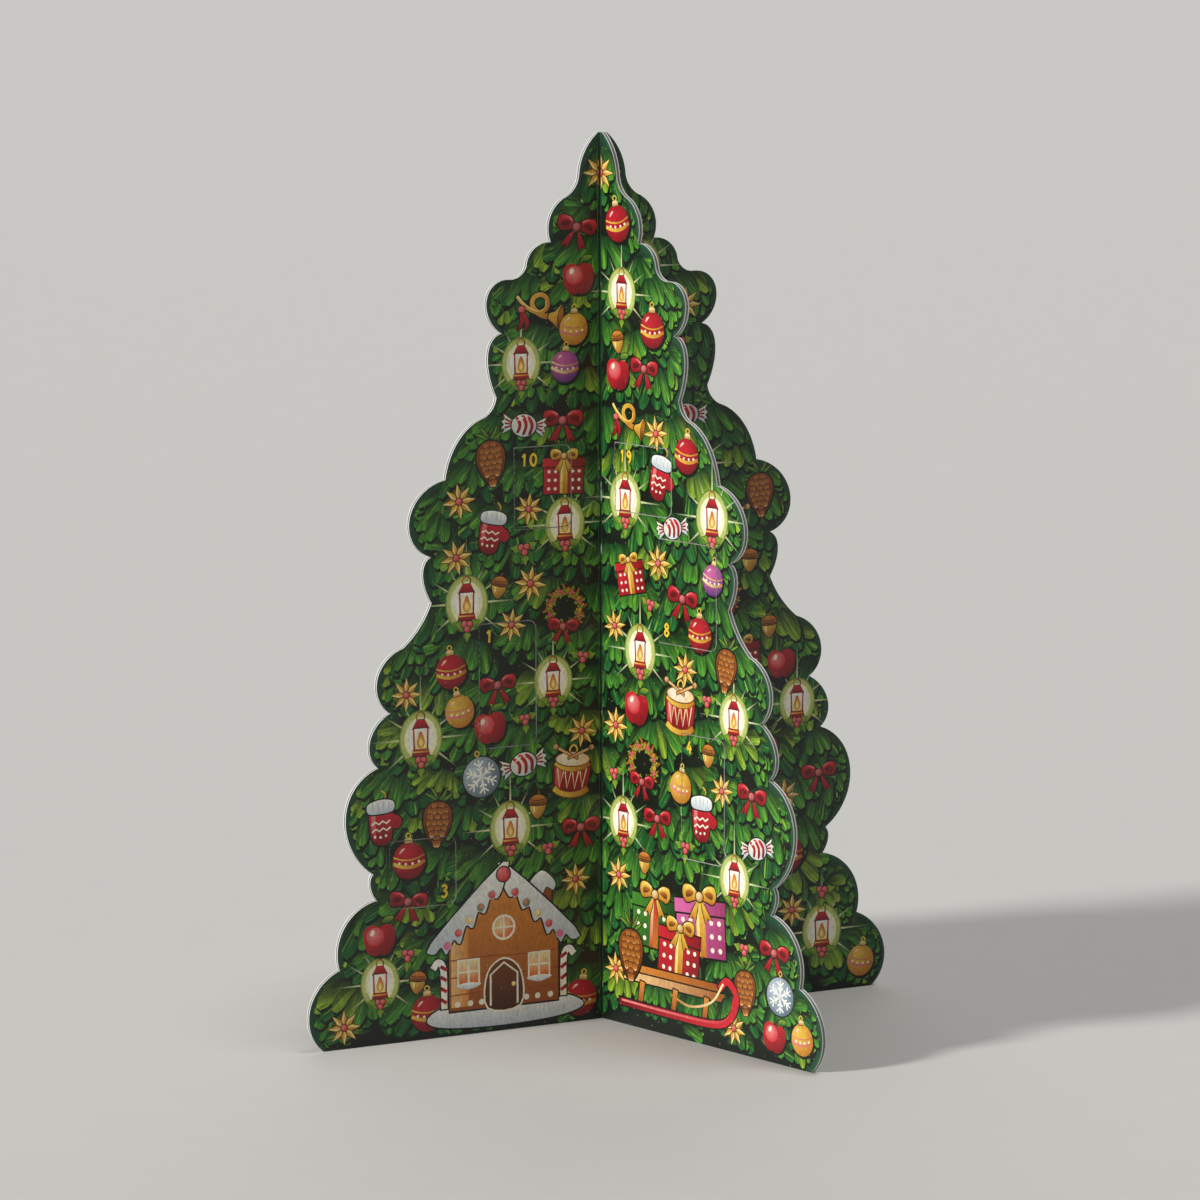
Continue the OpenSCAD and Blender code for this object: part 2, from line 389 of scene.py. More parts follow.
def lantern(b):
    for turn, reach in lanternSet["rays"]:
        ray = [heading(turn) * far + lanternSet["glow"] for far in (lanternSet["rayFrom"], reach)]
        b.line(ray, 0.75, "haloPale", "firMid", taper=(1, 0.25))
    b.oval(*lanternSet["glow"], 7.3, 8.9, "haloEdge", "haloRim", spot=(0, 0), count=26)
    b.oval(*lanternSet["glow"], 6.9, 8.4, "haloPale", "haloEdge", spot=(0, 0.05), count=26)
    b.oval(0, 2.2, 5.4, 6.6, "white", "haloPale", spot=(0, 0), count=22)
    b.oval(0, 2.4, 4.0, 5.0, "white", count=20)
    b.line([(-1.1, 7.6), (-1.3, 9.3), (0, 10.3), (1.3, 9.3), (1.1, 7.6)], 0.5, "goldDeep", "brown")
    b.poly(plank(2.9, 5.2, 1.1, 7.9), "red", "redDeep", edge=0.25, edgeInk="wine")
    b.poly(plank(2.2, -1.3, 2.4, 5.2), "white", "flameCore", edge=0.25, edgeInk="wine")
    b.blob([(0, 4.3), (0.9, 2.2), (1.1, 0.6), (0, -0.6), (-1.1, 0.6), (-0.8, 2.2)], "flame", "gold",
           edge=0.15, edgeInk="redDeep")
    b.blob([(0, 2.4), (0.5, 1.0), (0, -0.1), (-0.5, 1.0)], "flameCore", "goldPale")
    for x in (-2.2, 2.2):
        b.line([(x, -1.3), (x * 1.08, 5.2)], 0.55, "redDeep", "red")
    b.poly(plank(3.1, -3.3, 2.5, -1.3), "red", "redDeep", edge=0.25, edgeInk="wine")
    b.line([(-2.6, -1.9), (2.6, -1.9)], 0.45, "gold", "goldDeep")
    with b.at(0, -5.2, 0.95):
        holly(b)


def bauble(b, ink="red", deep="redDeep", trim="gold"):
    b.oval(0.5, -0.7, 5.5, 5.7, "shade", count=18)
    b.oval(0, 0, 5.2, 5.4, ink, deep, count=20)
    b.line([(-5.0, -0.4), (-2.6, -1.5), (0, -1.9), (2.6, -1.5), (5.0, -0.4)], 1.0, trim, "goldDeep")
    b.line([(-4.9, 1.4), (-2.5, 0.5), (0, 0.2), (2.5, 0.5), (4.9, 1.4)], 0.45, trim, "goldDeep")
    b.dots([(-3.1, -0.5), (-1.1, -0.9), (1.1, -0.9), (3.1, -0.5)], 0.42, "cream")
    b.blob([(-3.2, 2.2), (-2.3, 3.5), (-1.3, 3.7), (-2.2, 2.6)], "cream", "redPale", steps=3)
    b.poly(plank(1.3, 5.0, 1.1, 6.5), "goldPale", "goldDeep", edge=0.2)
    b.line([(0, 6.4), (0.8, 7.3), (0, 8.1), (-0.8, 7.3), (0, 6.4)], 0.35, "gold")


def strawStar(b):
    for k in range(8):
        with b.at(turn=45 * k + 22.5):
            b.poly([(0, 0), (-0.42, 2.6), (0, 4.4), (0.42, 2.6)], "goldDeep", "brown", edge=0.3)
    for k in range(8):
        with b.at(turn=45 * k):
            b.poly([(0, 0.4), (-1.05, 2.7), (0, 6.1), (1.05, 2.7)], "gold", "goldDeep", edge=0.35)
            b.poly([(0, 0.4), (-0.85, 2.7), (0, 5.7)], "goldPale", "gold")
    b.oval(0, 0, 1.15, 1.15, "redPale", "red", edge=0.3, count=12)


def pineCone(b):
    b.line([(0, 5.2), (0.4, 7.4), (-0.2, 9)], 0.8, "brown", "bark")
    for turn in (-62, -34, 30, 58):
        with b.at(0, 6, 1, turn):
            b.line([(0, 0), (0.3, 2.6), (0, 5.0)], 0.9, "firMid", "firLime", taper=(1, 1, 0.2), edge=0.25)
    body = [(0, 6.2), (3.2, 5.0), (4.6, 2.0), (4.0, -2.0), (2.2, -5.4), (0, -7.2)]
    b.blob(bothSides(body), "gingerDeep", "bark", edge=0.5)
    rows = [(5.0, 2.6), (3.4, 3.7), (1.7, 4.2), (0.0, 4.1), (-1.7, 3.7), (-3.3, 2.9), (-4.9, 1.9),
            (-6.2, 0.9)]
    for i, (z, wide) in enumerate(rows):
        count = max(1, int(round(wide * 0.75))) + (i % 2)
        r = 1.25 * (0.75 + 0.25 * wide / 4.2)
        for k in range(count):
            with b.at(wide * ((k + 0.5) / count * 2 - 1) * 0.86, z):
                b.poly([(-r, 0.7), (0, 1.1), (r, 0.7), (r * 0.62, -0.7), (0, -1.25), (-r * 0.62, -0.7)],
                       "brown", "ginger", edge=0.16, edgeInk="bark")
                b.line([(-r * 0.45, -0.6), (0, -1.0), (r * 0.45, -0.6)], 0.3, "biscuit")


def sweet(b):
    for flip in (False, True):
        with b.at(flip=flip):
            b.poly([(3.6, 0.9), (7.4, 3.0), (6.7, 1.5), (7.9, 0.6), (6.9, -0.2), (7.7, -1.5), (6.5, -1.4),
                    (7.0, -3.0), (3.6, -0.9)], "cream", "frost", edge=0.35)
            for z in (1.5, 0.2, -1.2):
                b.line([(3.9, z * 0.3), (6.6, z)], 0.55, "red", "redDeep")
    b.oval(0, 0, 4.3, 3.5, "cream", "frost", edge=0.4, count=18)
    for x in (-2.7, -0.6, 1.5):
        off = abs(x)
        stripe = [(x - 0.6, 2.9 - off * 0.25), (x + 0.5, 3.1 - off * 0.3), (x + 1.9, 0.3),
                  (x + 1.3, -2.8 + off * 0.2), (x + 0.3, -3.0 + off * 0.25), (x + 0.8, 0)]
        b.blob(stripe, "red", "redDeep", steps=3)
    b.blob([(-2.6, 1.3), (-1.4, 2.3), (-0.3, 2.4), (-1.5, 1.6)], "white", steps=3)


def mitten(b):
    b.line([(1.0, 6.4), (1.6, 8.0), (0.4, 9.3)], 0.45, "goldDeep", "gold")
    b.blob([(-3.3, 3.6), (-4.0, -0.5), (-3.4, -4.6), (-0.6, -6.4), (2.3, -5.2), (3.0, -2.0), (4.6, -2.2),
            (6.0, -0.6), (5.2, 1.2), (3.4, 2.2), (3.0, 3.8)], "red", "redDeep", edge=0.45)
    shine = [(-3.0, 2.8), (-3.5, 0), (-3.0, -3.6), (-2.3, -4.2), (-2.2, -0.4), (-2.0, 2.6)]
    b.blob(shine, "redPale", "red")
    for z in (-0.2, -2.2):
        zigzag = [(-3.4, z), (-2.2, z + 0.8), (-1.1, z), (0.1, z + 0.8), (1.2, z), (2.4, z + 0.8)]
        b.line(zigzag, 0.5, "cream", smooth=False)
    b.dots([(-2.6, -3.6), (-0.9, -3.9), (0.8, -3.7)], 0.42, "cream")
    cuff = [(-4.0, 3.2), (-4.3, 5.6), (-1.6, 6.6), (1.6, 6.6), (3.9, 5.6), (3.6, 3.2), (0, 2.7)]
    b.blob(cuff, "white", "frost", edge=0.4)
    for x in (-2.6, -1.0, 0.6, 2.2):
        b.line([(x, 3.4), (x + 0.1, 6.0)], 0.3, "frost")


def drum(b):
    b.line([(0, 5.2), (1.2, 7.0), (0, 8.4), (-1.2, 7.0), (0, 5.2)], 0.5, "gold", "goldDeep")
    b.blob(bothSides([(0, -6.0), (3.4, -5.4), (5.4, -3.6), (5.4, 4.0), (0, 5)]), "red", "redDeep", edge=0.5)
    b.poly([(-5.2, 3.4), (-3.4, 2.5), (-3.4, -4.8), (-5.2, -3.6)], "redPale", "red")
    for i in range(4):
        x = -4.9 + i * 2.45
        b.line([(x, 2.5 - 0.9 * math.sin((x + 5) / 3.2)), (x + 1.22, -3.6 - 0.9 * math.sin((x + 6) / 3.4)),
                (x + 2.45, 2.5 - 0.9 * math.sin((x + 7.4) / 3.2))], 0.45, "goldPale", smooth=False)
    for z in (3.2, -4.4):
        b.line([(-5.5, z), (-3.4, z - 1.3), (0, z - 1.9), (3.4, z - 1.3), (5.5, z)], 1.5, "gold",
               "goldDeep", edge=0.25, edgeInk="brown")
    b.oval(0, 4.2, 5.5, 2.0, "cream", "biscuit", edge=0.35, edgeInk="brown", count=20)
    for flip in (False, True):
        with b.at(flip=flip):
            b.line([(-5.6, 7.6), (1.6, 4.4)], 0.7, "biscuit", "ginger", edge=0.2)
            b.oval(-5.8, 7.7, 0.9, 0.9, "biscuit", "gingerDeep", count=10, edge=0.2)


def horn(b):
    b.line([(-5.2, -1.2), (-5.0, -5.2), (-6.2, -7.2)], 1.4, "red", "redDeep", taper=(0.7, 1, 0.5), edge=0.3)
    b.line([(-5.2, -1.2), (-3.2, -4.6), (-3.4, -7.4)], 1.4, "red", "redDeep", taper=(0.7, 1, 0.5), edge=0.3)
    tube = [(-7.2, 3.0), (-5.0, 0.8), (-2.2, -1.0), (0.8, -1.6), (3.2, -0.2), (3.2, 2.4), (1.2, 3.8),
            (-1.2, 3.0), (-1.8, 0.8), (-0.2, -1.4), (2.6, -2.6), (4.8, -2.6)]
    b.line(tube, 1.5, "gold", "goldDeep", taper=(0.6, 0.9, 1, 1.2), edge=0.4)
    shine = [(-6.9, 3.1), (-4.8, 1.1), (-2.0, -0.6), (0.8, -1.2), (2.7, 0.0), (2.7, 2.1)]
    b.line(shine, 0.4, "goldPale", "gold")
    bell = [(4.0, -3.3), (6.0, -4.9), (7.9, -6.2), (8.6, -3.0), (8.2, 0.8), (6.4, -1.0), (4.4, -1.8)]
    b.blob(bell, "gold", "goldDeep", edge=0.4)
    b.oval(8.1, -2.7, 0.9, 3.3, "goldDeep", "bark", turn=-6, edge=0.2, count=14)
    b.oval(-5.2, -0.9, 1.2, 1.0, "redPale", "red", edge=0.25, count=10)


def ribbonBow(b, ink="red", deep="redDeep", pale="redPale"):
    tail = [(0.4, -0.4), (2.2, -2.6), (4.2, -5.6), (2.6, -5.0), (1.9, -6.4), (0.9, -3.2)]
    loop = [(0.4, 0.5), (2.6, 2.6), (5.4, 2.6), (6.0, 0.4), (4.8, -1.5), (2.4, -1.0), (0.4, -0.5)]
    for flip in (False, True):
        with b.at(flip=flip):
            b.poly(tail, ink, deep, edge=0.3)
            b.blob(loop, ink, deep, edge=0.35)
            b.blob([(2.0, 0.9), (3.6, 1.5), (4.9, 0.9), (4.6, -0.3), (3.0, 0.0)], deep, "wine", steps=3)
            b.line([(1.6, 1.6), (3.2, 2.4), (4.8, 2.1)], 0.5, pale, ink)
    b.oval(0, 0, 1.3, 1.25, pale, deep, edge=0.3, count=12)


def present(b, ink="pink", deep="pinkDeep", ribbon="gold"):
    b.poly(plank(6.2, -5.6, 6.2, 3.4), ink, deep, start=(-6, 4), end=(6, -6), edge=0.5)
    b.dots([(x, z) for x in (-4.6, -2.6, 2.8, 4.8) for z in (-4.2, -1.8, 0.6)], 0.5, "cream")
    b.poly(plank(6.6, 1.9, 6.6, 4.3), ink, deep, start=(-6, 4), end=(7, 2), edge=0.35)
    b.poly(plank(1.2, -5.6, 1.2, 4.3), ribbon, "goldDeep", start=(-1, 4), end=(1, -5))
    b.poly(plank(0.35, -5.5, 0.35, 4.2, -0.65), "goldPale", ribbon)
    with b.at(0, 4.9, 0.72):
        ribbonBow(b, "gold", "goldDeep", "goldPale")


def wreath(b):
    b.oval(0.3, -0.5, 7.4, 7.4, "shade", count=22)
    rings = [(24, 2.5, 0.0, 40, "brown", "goldDeep"), (22, 2.2, 0.2, 75, "goldDeep", "gold")]
    for count, reach, shift, lean, ink, to in rings:
        for i in range(count):
            a = 2 * math.pi * i / count + shift
            with b.at(5.0 * math.cos(a), 5.0 * math.sin(a), 1, math.degrees(a) + lean + 30 * (i % 3)):
                b.line([(-reach * 0.6, 0), (0, 0.3), (reach, 0)], 1.3, ink, to, taper=(0.6, 1, 0.3),
                       edge=0.2, edgeInk="bark")
    for i in range(8):
        a = 2 * math.pi * i / 8 + 0.4
        with b.at(5.0 * math.cos(a), 5.0 * math.sin(a), 0.42, math.degrees(a)):
            holly(b)
    with b.at(0, -5.2, 0.8):
        ribbonBow(b)


def apple(b):
    b.oval(0.5, -0.8, 5.3, 5.0, "shade", count=16)
    skin = [(0, 3.6), (2.2, 4.4), (4.6, 3.2), (5.1, 0), (3.8, -3.6), (1.4, -4.9), (0, -4.4)]
    b.blob(bothSides(skin), "red", "redDeep", start=(-3, 4), end=(3, -4))
    b.oval(-1.4, 0.8, 2.9, 2.8, "redPale", "red", spot=(-0.2, 0.3), count=14)
    b.oval(-2.3, 2.0, 0.7, 1.0, "cream", turn=-25, count=9)
    b.line([(0, 3.4), (0.3, 4.9), (1.0, 6.2)], 0.7, "brown", "bark")
    b.blob([(0.6, 5.0), (2.2, 6.6), (4.6, 6.4), (3.0, 4.8)], "firLime", "firMid", edge=0.25)


def snowCrystal(b):
    b.oval(0, 0, 6.2, 6.2, "frost", "slate", edge=0.4, count=22)
    for k in range(6):
        with b.at(turn=60 * k):
            b.line([(0, 0), (0, 5.4)], 0.75, "white", "cream", taper=(1, 0.5))
            for z, w in ((2.0, 1.1), (3.4, 1.5)):
                b.line([(-w, z + w * 0.9), (0, z), (w, z + w * 0.9)], 0.55, "white", smooth=False)
    b.oval(0, 0, 1.1, 1.1, "white", "frost", count=10)
    b.line([(0, 6.3), (0.7, 7.3), (0, 8.2), (-0.7, 7.3), (0, 6.3)], 0.35, "gold")


def acorn(b):
    nut = bothSides([(0, -4.4), (2.3, -2.0), (2.4, 0.8)])
    b.blob(nut, "gold", "gingerDeep", start=(-2, 1), end=(2, -4), edge=0.35)
    b.line([(-1.4, 0.2), (-1.3, -2.2)], 0.5, "goldPale")
    b.blob(bothSides([(0, 3.5), (2.4, 2.6), (3.1, 0.6), (0, 0.1)]), "ginger", "brown", edge=0.35)
    for z in (1.1, 2.0):
        b.line([(-2.6, z), (0, z - 0.5), (2.6, z)], 0.25, "bark")
    b.line([(0, 3.3), (0.4, 4.9)], 0.6, "brown")


def houseWall(b):
    b.poly(bothSides([(17, -18), (17, 2), (0, 18)]), "ginger", "gingerDeep", edge=0.6)
    b.poly([(-16.4, -17), (-11, -17), (-11, 6), (-16.4, 1.8)], "biscuit", "ginger", start=(-17, 0),
           end=(-11, 0))
    for z in (-13.6, -8.6, -3.6):
        b.line([(-17, z), (-6, z + 0.3), (6, z - 0.2), (17, z)], 0.35, "gingerDeep")
    b.blob(bothSides([(0, -4.6), (5, -8.5), (5, -18)]), "brown", "bark", edge=0.5, edgeInk="cream")
    b.line([(-4.2, -17.6), (-4.2, -8.8), (0, -5.6), (4.2, -8.8), (4.2, -17.6)], 0.6, "cream", smooth=False)
    b.oval(3.0, -12, 0.7, 0.7, "goldPale", "gold", count=8)
    for x in (-11, 11):
        b.poly(plank(3, -10.5, 3, -4, x), "goldPale", "flame", edge=0.7, edgeInk="cream")
        b.line([(x, -10.5), (x, -4)], 0.6, "cream")
        b.line([(x - 3, -7.2), (x + 3, -7.2)], 0.6, "cream")
        b.blob([(x - 4, -10.9), (x, -12.2), (x + 4, -10.9), (x, -10.2)], "white", "frost", steps=3)
    b.oval(0, 4.4, 3.0, 3.0, "goldPale", "flame", edge=0.7, edgeInk="cream", count=14)
    b.line([(-3, 4.4), (3, 4.4)], 0.5, "cream")
    b.line([(0, 1.4), (0, 7.4)], 0.5, "cream")


def houseSide(b):
    # one slope of the roof with its icing, its sweets and the striped cane below it
    roof = [(0, 23), (22.4, 2.2), (21.6, -1.2), (19.4, 0.6), (17.8, -1.6), (15.6, 2.4), (13.6, 1.0),
            (11.8, 6.0), (9.6, 5.2), (8.0, 9.6), (5.8, 9.0), (4.0, 13.6), (2.0, 12.8), (0, 16.6)]
    b.blob(roof, "white", "frost", steps=3, edge=0.5)
    for i, ink in enumerate(("red", "firBright", "gold", "red", "pink")):
        x = 3.6 + 3.5 * i
        b.oval(x, 17.4 - 0.94 * x, 1.15, 1.15, "cream" if ink == "gold" else "redPale", ink, edge=0.25,
               edgeInk="frost", count=10)
    b.line([(18.6, -17), (18.8, -6), (20.4, -3.6), (22, -5.4)], 1.9, "cream", "white", edge=0.4)
    for z in (-15.4, -12.2, -9.0, -6.0):
        b.line([(17.8, z), (19.7, z + 1.2)], 1.0, "red", "redDeep")


def gingerHouse(b):
    drift = [(-24, -20), (-18, -22.5), (0, -23.4), (18, -22.5), (25, -20), (18, -16.5), (0, -15.5),
             (-18, -16.5)]
    b.blob(drift, "white", "frost", edge=0.5)
    b.poly([(9, 8), (15, 3), (15, 17), (9, 17)], "gingerDeep", "brown", edge=0.5)
    b.blob([(8, 16), (12, 19.4), (16, 16), (15.6, 13.6), (13.4, 14.6), (12, 12.6), (10, 14.4), (8.6, 13.4)],
           "white", "frost", edge=0.3)
    houseWall(b)
    for flip in (False, True):
        with b.at(flip=flip):
            houseSide(b)
    b.dots([(x, -16.2) for x in (-14.5, -10.5, -7, 7, 10.5, 14.5)], 0.9, "cream")
    b.oval(0, 19.5, 2.1, 2.1, "redPale", "red", edge=0.35, count=12)


def sledLoad(b):
    with b.at(-9, 7, 1.45, -3):
        present(b, "firBright", "firDeep", "red")
    with b.at(10.5, 8.5, 1.6, 4):
        present(b)
    with b.at(1.5, -0.5, 1.35, -4):
        redPresent(b)
    for z, ink in ((-8.2, "ginger"), (-10.6, "biscuit")):
        b.poly([(-22, z - 1.2), (19, z - 1.2), (20.4, z + 1.1), (-21, z + 1.1)], ink, "gingerDeep",
               start=(-22, z), end=(20, z), edge=0.45)
    for x in (-14, 0, 13):
        b.line([(x, -11.6), (x - 1.0, -17.8)], 1.9, "ginger", "gingerDeep", edge=0.4)
    runner = [(-24, -18.6), (-4, -18.9), (16, -18.6), (23, -15.6), (25.2, -9.6), (21.6, -5.6), (18.2, -8.2)]
    b.line(runner, 2.1, "redDeep", "red", edge=0.45, steps=6)
    shine = [(-23, -18.2), (-4, -18.5), (15.6, -18.1), (22.2, -15.2), (24.2, -9.8)]
    b.line(shine, 0.6, "redPale", "red", steps=6)
    b.line([(19.8, -6.6), (15, -12.5), (6, -15.2), (-2, -13.2)], 0.7, "goldPale", "goldDeep", steps=6)
    with b.at(-19, -4.2, 1.1):
        pineCone(b)


def flowerpot(b):
    # a potted winter rose
    b.poly(plank(11, -2, 8, -19), "ginger", "gingerDeep", start=(-10, 0), end=(9, -14), edge=0.6)
    b.poly(plank(12.4, -4, 12.4, 0.8), "biscuit", "gingerDeep", start=(-12, 0), end=(12, -3), edge=0.5)
    with b.at(0, -8.6, 1.25):
        ribbonBow(b)
    for i in range(11):
        with b.at(0, 2, 1, -84 + i * 16.8):
            leaf = bothSides([(0, 2), (3.0, 8), (2.2, 15), (0, 18.5 + i % 3)])
            b.blob(leaf, "firBright", "firDeep", edge=0.35)
            b.line([(0, 4), (0, 16)], 0.4, "firGlint", "firLime")
    for k in range(7):
        with b.at(0, 11.5, 1, k * 360 / 7):
            petal = bothSides([(0, 1), (4.0, 5), (3.4, 9.4), (0, 12.2)])
            b.blob(petal, "redPale" if k % 2 else "red", "redDeep", start=(0, 12), end=(0, 0), edge=0.4,
                   edgeInk="wine")
            b.line([(0, 3), (0, 10)], 0.35, "redDeep", "redPale")
    b.oval(0, 11.5, 2.4, 2.4, "goldPale", "gold", edge=0.3, count=12)
    b.dots([(2.9 * math.cos(a), 11.5 + 2.9 * math.sin(a)) for a in np.linspace(0, 5.4, 7)], 0.6, "goldPale")


def toyBlocks(b):
    blocks = [(-9.5, -11, 1.0, "red", "redDeep", "wine"), (8.8, -11, 1.0, "ginger", "gingerDeep", "bark"),
              (-0.6, 6.4, 0.96, "firBright", "firDeep", "bark")]
    for x, z, size, ink, deep, dark in blocks:
        with b.at(x, z, size):
            b.poly(plank(7.5, -8.4, 7.5, 6.6, -0.9), ink, deep, start=(-8, 7), end=(7, -8), edge=0.5)
            b.poly([(-8.4, 6.6), (6.6, 6.6), (9.4, 9.2), (-5.4, 9.2)], "biscuit", ink, edge=0.4)
            b.poly([(6.6, -8.4), (9.4, -5.6), (9.4, 9.2), (6.6, 6.6)], deep, dark, edge=0.4)
            b.poly(plank(5.9, -6.8, 5.9, 5, -0.9), "cream", "biscuit", start=(-6, 5), end=(5, -6))
            with b.at(-0.9, -0.9, 0.72):
                strawStar(b)
    with b.at(-0.6, 20.5):
        horn(b)


def goldBauble(b):
    bauble(b, "gold", "goldDeep", "redPale")


def plumBauble(b):
    bauble(b, "pink", "plum", "goldPale")


def redPresent(b):
    present(b, "red", "redDeep", "gold")


# fir boughs
boughSet = {
    "rowStep": 16.0, "columnStep": 22.0, "lowest": 6.0, "jitter": (3.5, 3.0), "past": 2.0,
    "size": (0.95, 1.4), "lean": 62, "mostLean": 75, "leastReach": 12, "rimClear": 2.2, "bright": 0.5,
    "root": (5.0, 1.8), "fanJitter": 9, "length": (1.1, 0.25), "droop": 0.2, "knee": 0.55, "sway": 0.6,
    "arch": 0.14, "limeShare": 0.5,
    "under": {"count": 7, "spread": 78, "length": (10.5, 15.0), "width": (4.8, 6.4),
              "inks": ("shade", "firMid")},
    "over": {"count": 7, "spread": 66, "length": (7.0, 11.5), "width": (3.6, 5.2),
             "inks": ("firDeep", "firBright")},
    "roundEnd": (0.42, 0.72, 0.9, 0.98, 1.0, 0.98, 0.9, 0.72, 0.3), "strokeSeeds": (1.0, 9.0),
    "shadow": ((0.3, -0.2), (0.4, -0.8), (0.4, -1.2)), "shadowWidth": 1.1,
}


def paintFingers(b, rng, fingers, near, far, lit):
    # the shadows of all the fingers first, then each finger as one brush stroke
    ends = boughSet["roundEnd"]
    for *spots, width in fingers:
        shadow = [spot + off for spot, off in zip(spots, boughSet["shadow"])]
        b.line(shadow, width * boughSet["shadowWidth"], "shade", taper=ends)
    for root, bend, tip, width in fingers:
        ink = "firLime" if lit and rng.random() < boughSet["limeShare"] else far
        side = 1 if bend[0] >= root[0] else -1
        seed = side * rng.uniform(*boughSet["strokeSeeds"])
        b.line([root, bend, tip], width, near, ink, taper=ends, seed=seed)


def bough(b, rng, x, z, lean, size, lit):
    # a drooping spray of round-ended fingers in two layers
    rootX, rootZ = boughSet["root"]
    longest, shorter = boughSet["length"]
    jitter, sway = boughSet["fanJitter"], boughSet["sway"]
    for layer in ("under", "over"):
        part = boughSet[layer]
        fingers = []
        for i in range(part["count"]):
            share = (i + 0.5) / part["count"] * 2 - 1
            way = heading(-90 + lean + share * part["spread"] + rng.uniform(-jitter, jitter))
            length = size * rng.uniform(*part["length"]) * (longest - shorter * abs(share))
            flat = length * abs(way[0])
            root = np.array([x + share * rootX * size, z - abs(share) * rootZ * size])
            tip = root + way * length + (0, -boughSet["droop"] * flat)
            bend = root + way * length * boughSet["knee"]
            bend = bend + (rng.uniform(-sway, sway), boughSet["arch"] * flat)
            fingers.append((root, bend, tip, size * rng.uniform(*part["width"])))
        gaps = rimGap([f[2] for f in fingers])
        fingers = [f for f, gap in zip(fingers, gaps) if gap > boughSet["rimClear"]]
        rng.shuffle(fingers)
        paintFingers(b, rng, fingers, *part["inks"], lit and layer == "over")


def paintBoughs(b, rng):
    jitterX, jitterZ = boughSet["jitter"]
    most = boughSet["mostLean"]
    columns = int(2 * tree["reach"] / boughSet["columnStep"]) + 1
    for row in range(int(tree["height"] / boughSet["rowStep"]) + 1):
        for i in range(columns):
            column = i - (columns - 1) / 2 + 0.5 * (row % 2)
            x = column * boughSet["columnStep"] + rng.uniform(-jitterX, jitterX)
            z = boughSet["lowest"] + row * boughSet["rowStep"] + rng.uniform(-jitterZ, jitterZ)
            reach = np.interp(z, rimRight[::-1, 1], rimRight[::-1, 0])
            if abs(x) < reach + boughSet["past"]:
                lean = max(-most, min(most, boughSet["lean"] * x / max(reach, boughSet["leastReach"])))
                bough(b, rng, x, z, lean, rng.uniform(*boughSet["size"]), rng.random() > boughSet["bright"])


fringeSet = {
    "step": 6.0, "ends": 2.0, "inset": (9.0, 13.0), "fan": (-42, -15, 12, 38), "droop": 0.5, "jitter": 8,
    "lengths": (12.0, 9.5, 7.2, 5.2), "width": (3.4, 4.8), "rimClear": 1.5, "lit": 0.45, "arch": 0.1,
}


def fringe(b, rng):
    # short sprays all along the rim from the foot up, each finger as long as the rim leaves room for
    lengths = np.array(fringeSet["lengths"])
    for rim, side in ((rimRight, 1), (rimLeft, -1)):
        far = np.concatenate([[0], np.cumsum(np.linalg.norm(np.diff(rim, axis=0), axis=1))])
        for at in np.arange(far[-1] - fringeSet["ends"], fringeSet["ends"], -fringeSet["step"]):
            spot, ahead = np.stack([np.interp((at, at + 1), far, axis) for axis in rim.T], 1)
            along = (ahead - spot) / np.linalg.norm(ahead - spot)
            out = side * np.array([-along[1], along[0]])
            rise = max(out[1], 0)  # over the top of a lobe the sprays lie along the rim
            root = spot - out * rng.uniform(*fringeSet["inset"]) * (1 - 0.5 * rise)
            aim = math.degrees(math.atan2(out[1] - rise - fringeSet["droop"], out[0]))
            fingers = []
            for lean in fringeSet["fan"]:
                way = heading(aim + lean + rng.uniform(-1, 1) * fringeSet["jitter"])
                width = rng.uniform(*fringeSet["width"])
                fits = lengths[rimGap(root + way * lengths[:, None]) > fringeSet["rimClear"]]
                if len(fits):
                    tip = root + way * fits[0]
                    bend = (root + tip) / 2 + (0, fringeSet["arch"] * fits[0] * abs(way[0]))
                    fingers.append((root, bend, tip, width))
            rng.shuffle(fingers)
            paintFingers(b, rng, fingers, *boughSet["over"]["inks"], rng.random() < fringeSet["lit"])


# what hangs on each half page: motif, clear radius in mm, size, how many
ornaments = [
    (lantern, 10.6, 1.14, 7), (ribbonBow, 8.0, 1.28, 5), (drum, 9.6, 1.28, 1), (horn, 9.4, 1.15, 1),
    (mitten, 9.0, 1.25, 2), (pineCone, 9.0, 1.2, 2), (wreath, 11.0, 1.28, 1), (redPresent, 9.0, 1.25, 1),
    (snowCrystal, 8.2, 1.15, 1), (sweet, 8.6, 1.18, 2), (apple, 7.4, 1.22, 3), (bauble, 8.0, 1.25, 4),
    (goldBauble, 7.4, 1.15, 2), (plumBauble, 7.2, 1.1, 1), (strawStar, 6.6, 1.06, 9), (holly, 6.0, 1.15, 5),
    (acorn, 5.0, 1.1, 3),
]
grandMotifs = {
    "front": (gingerHouse, sledLoad), "right": (flowerpot, toyBlocks),
    "back": (sledLoad, gingerHouse), "left": (toyBlocks, flowerpot),
}
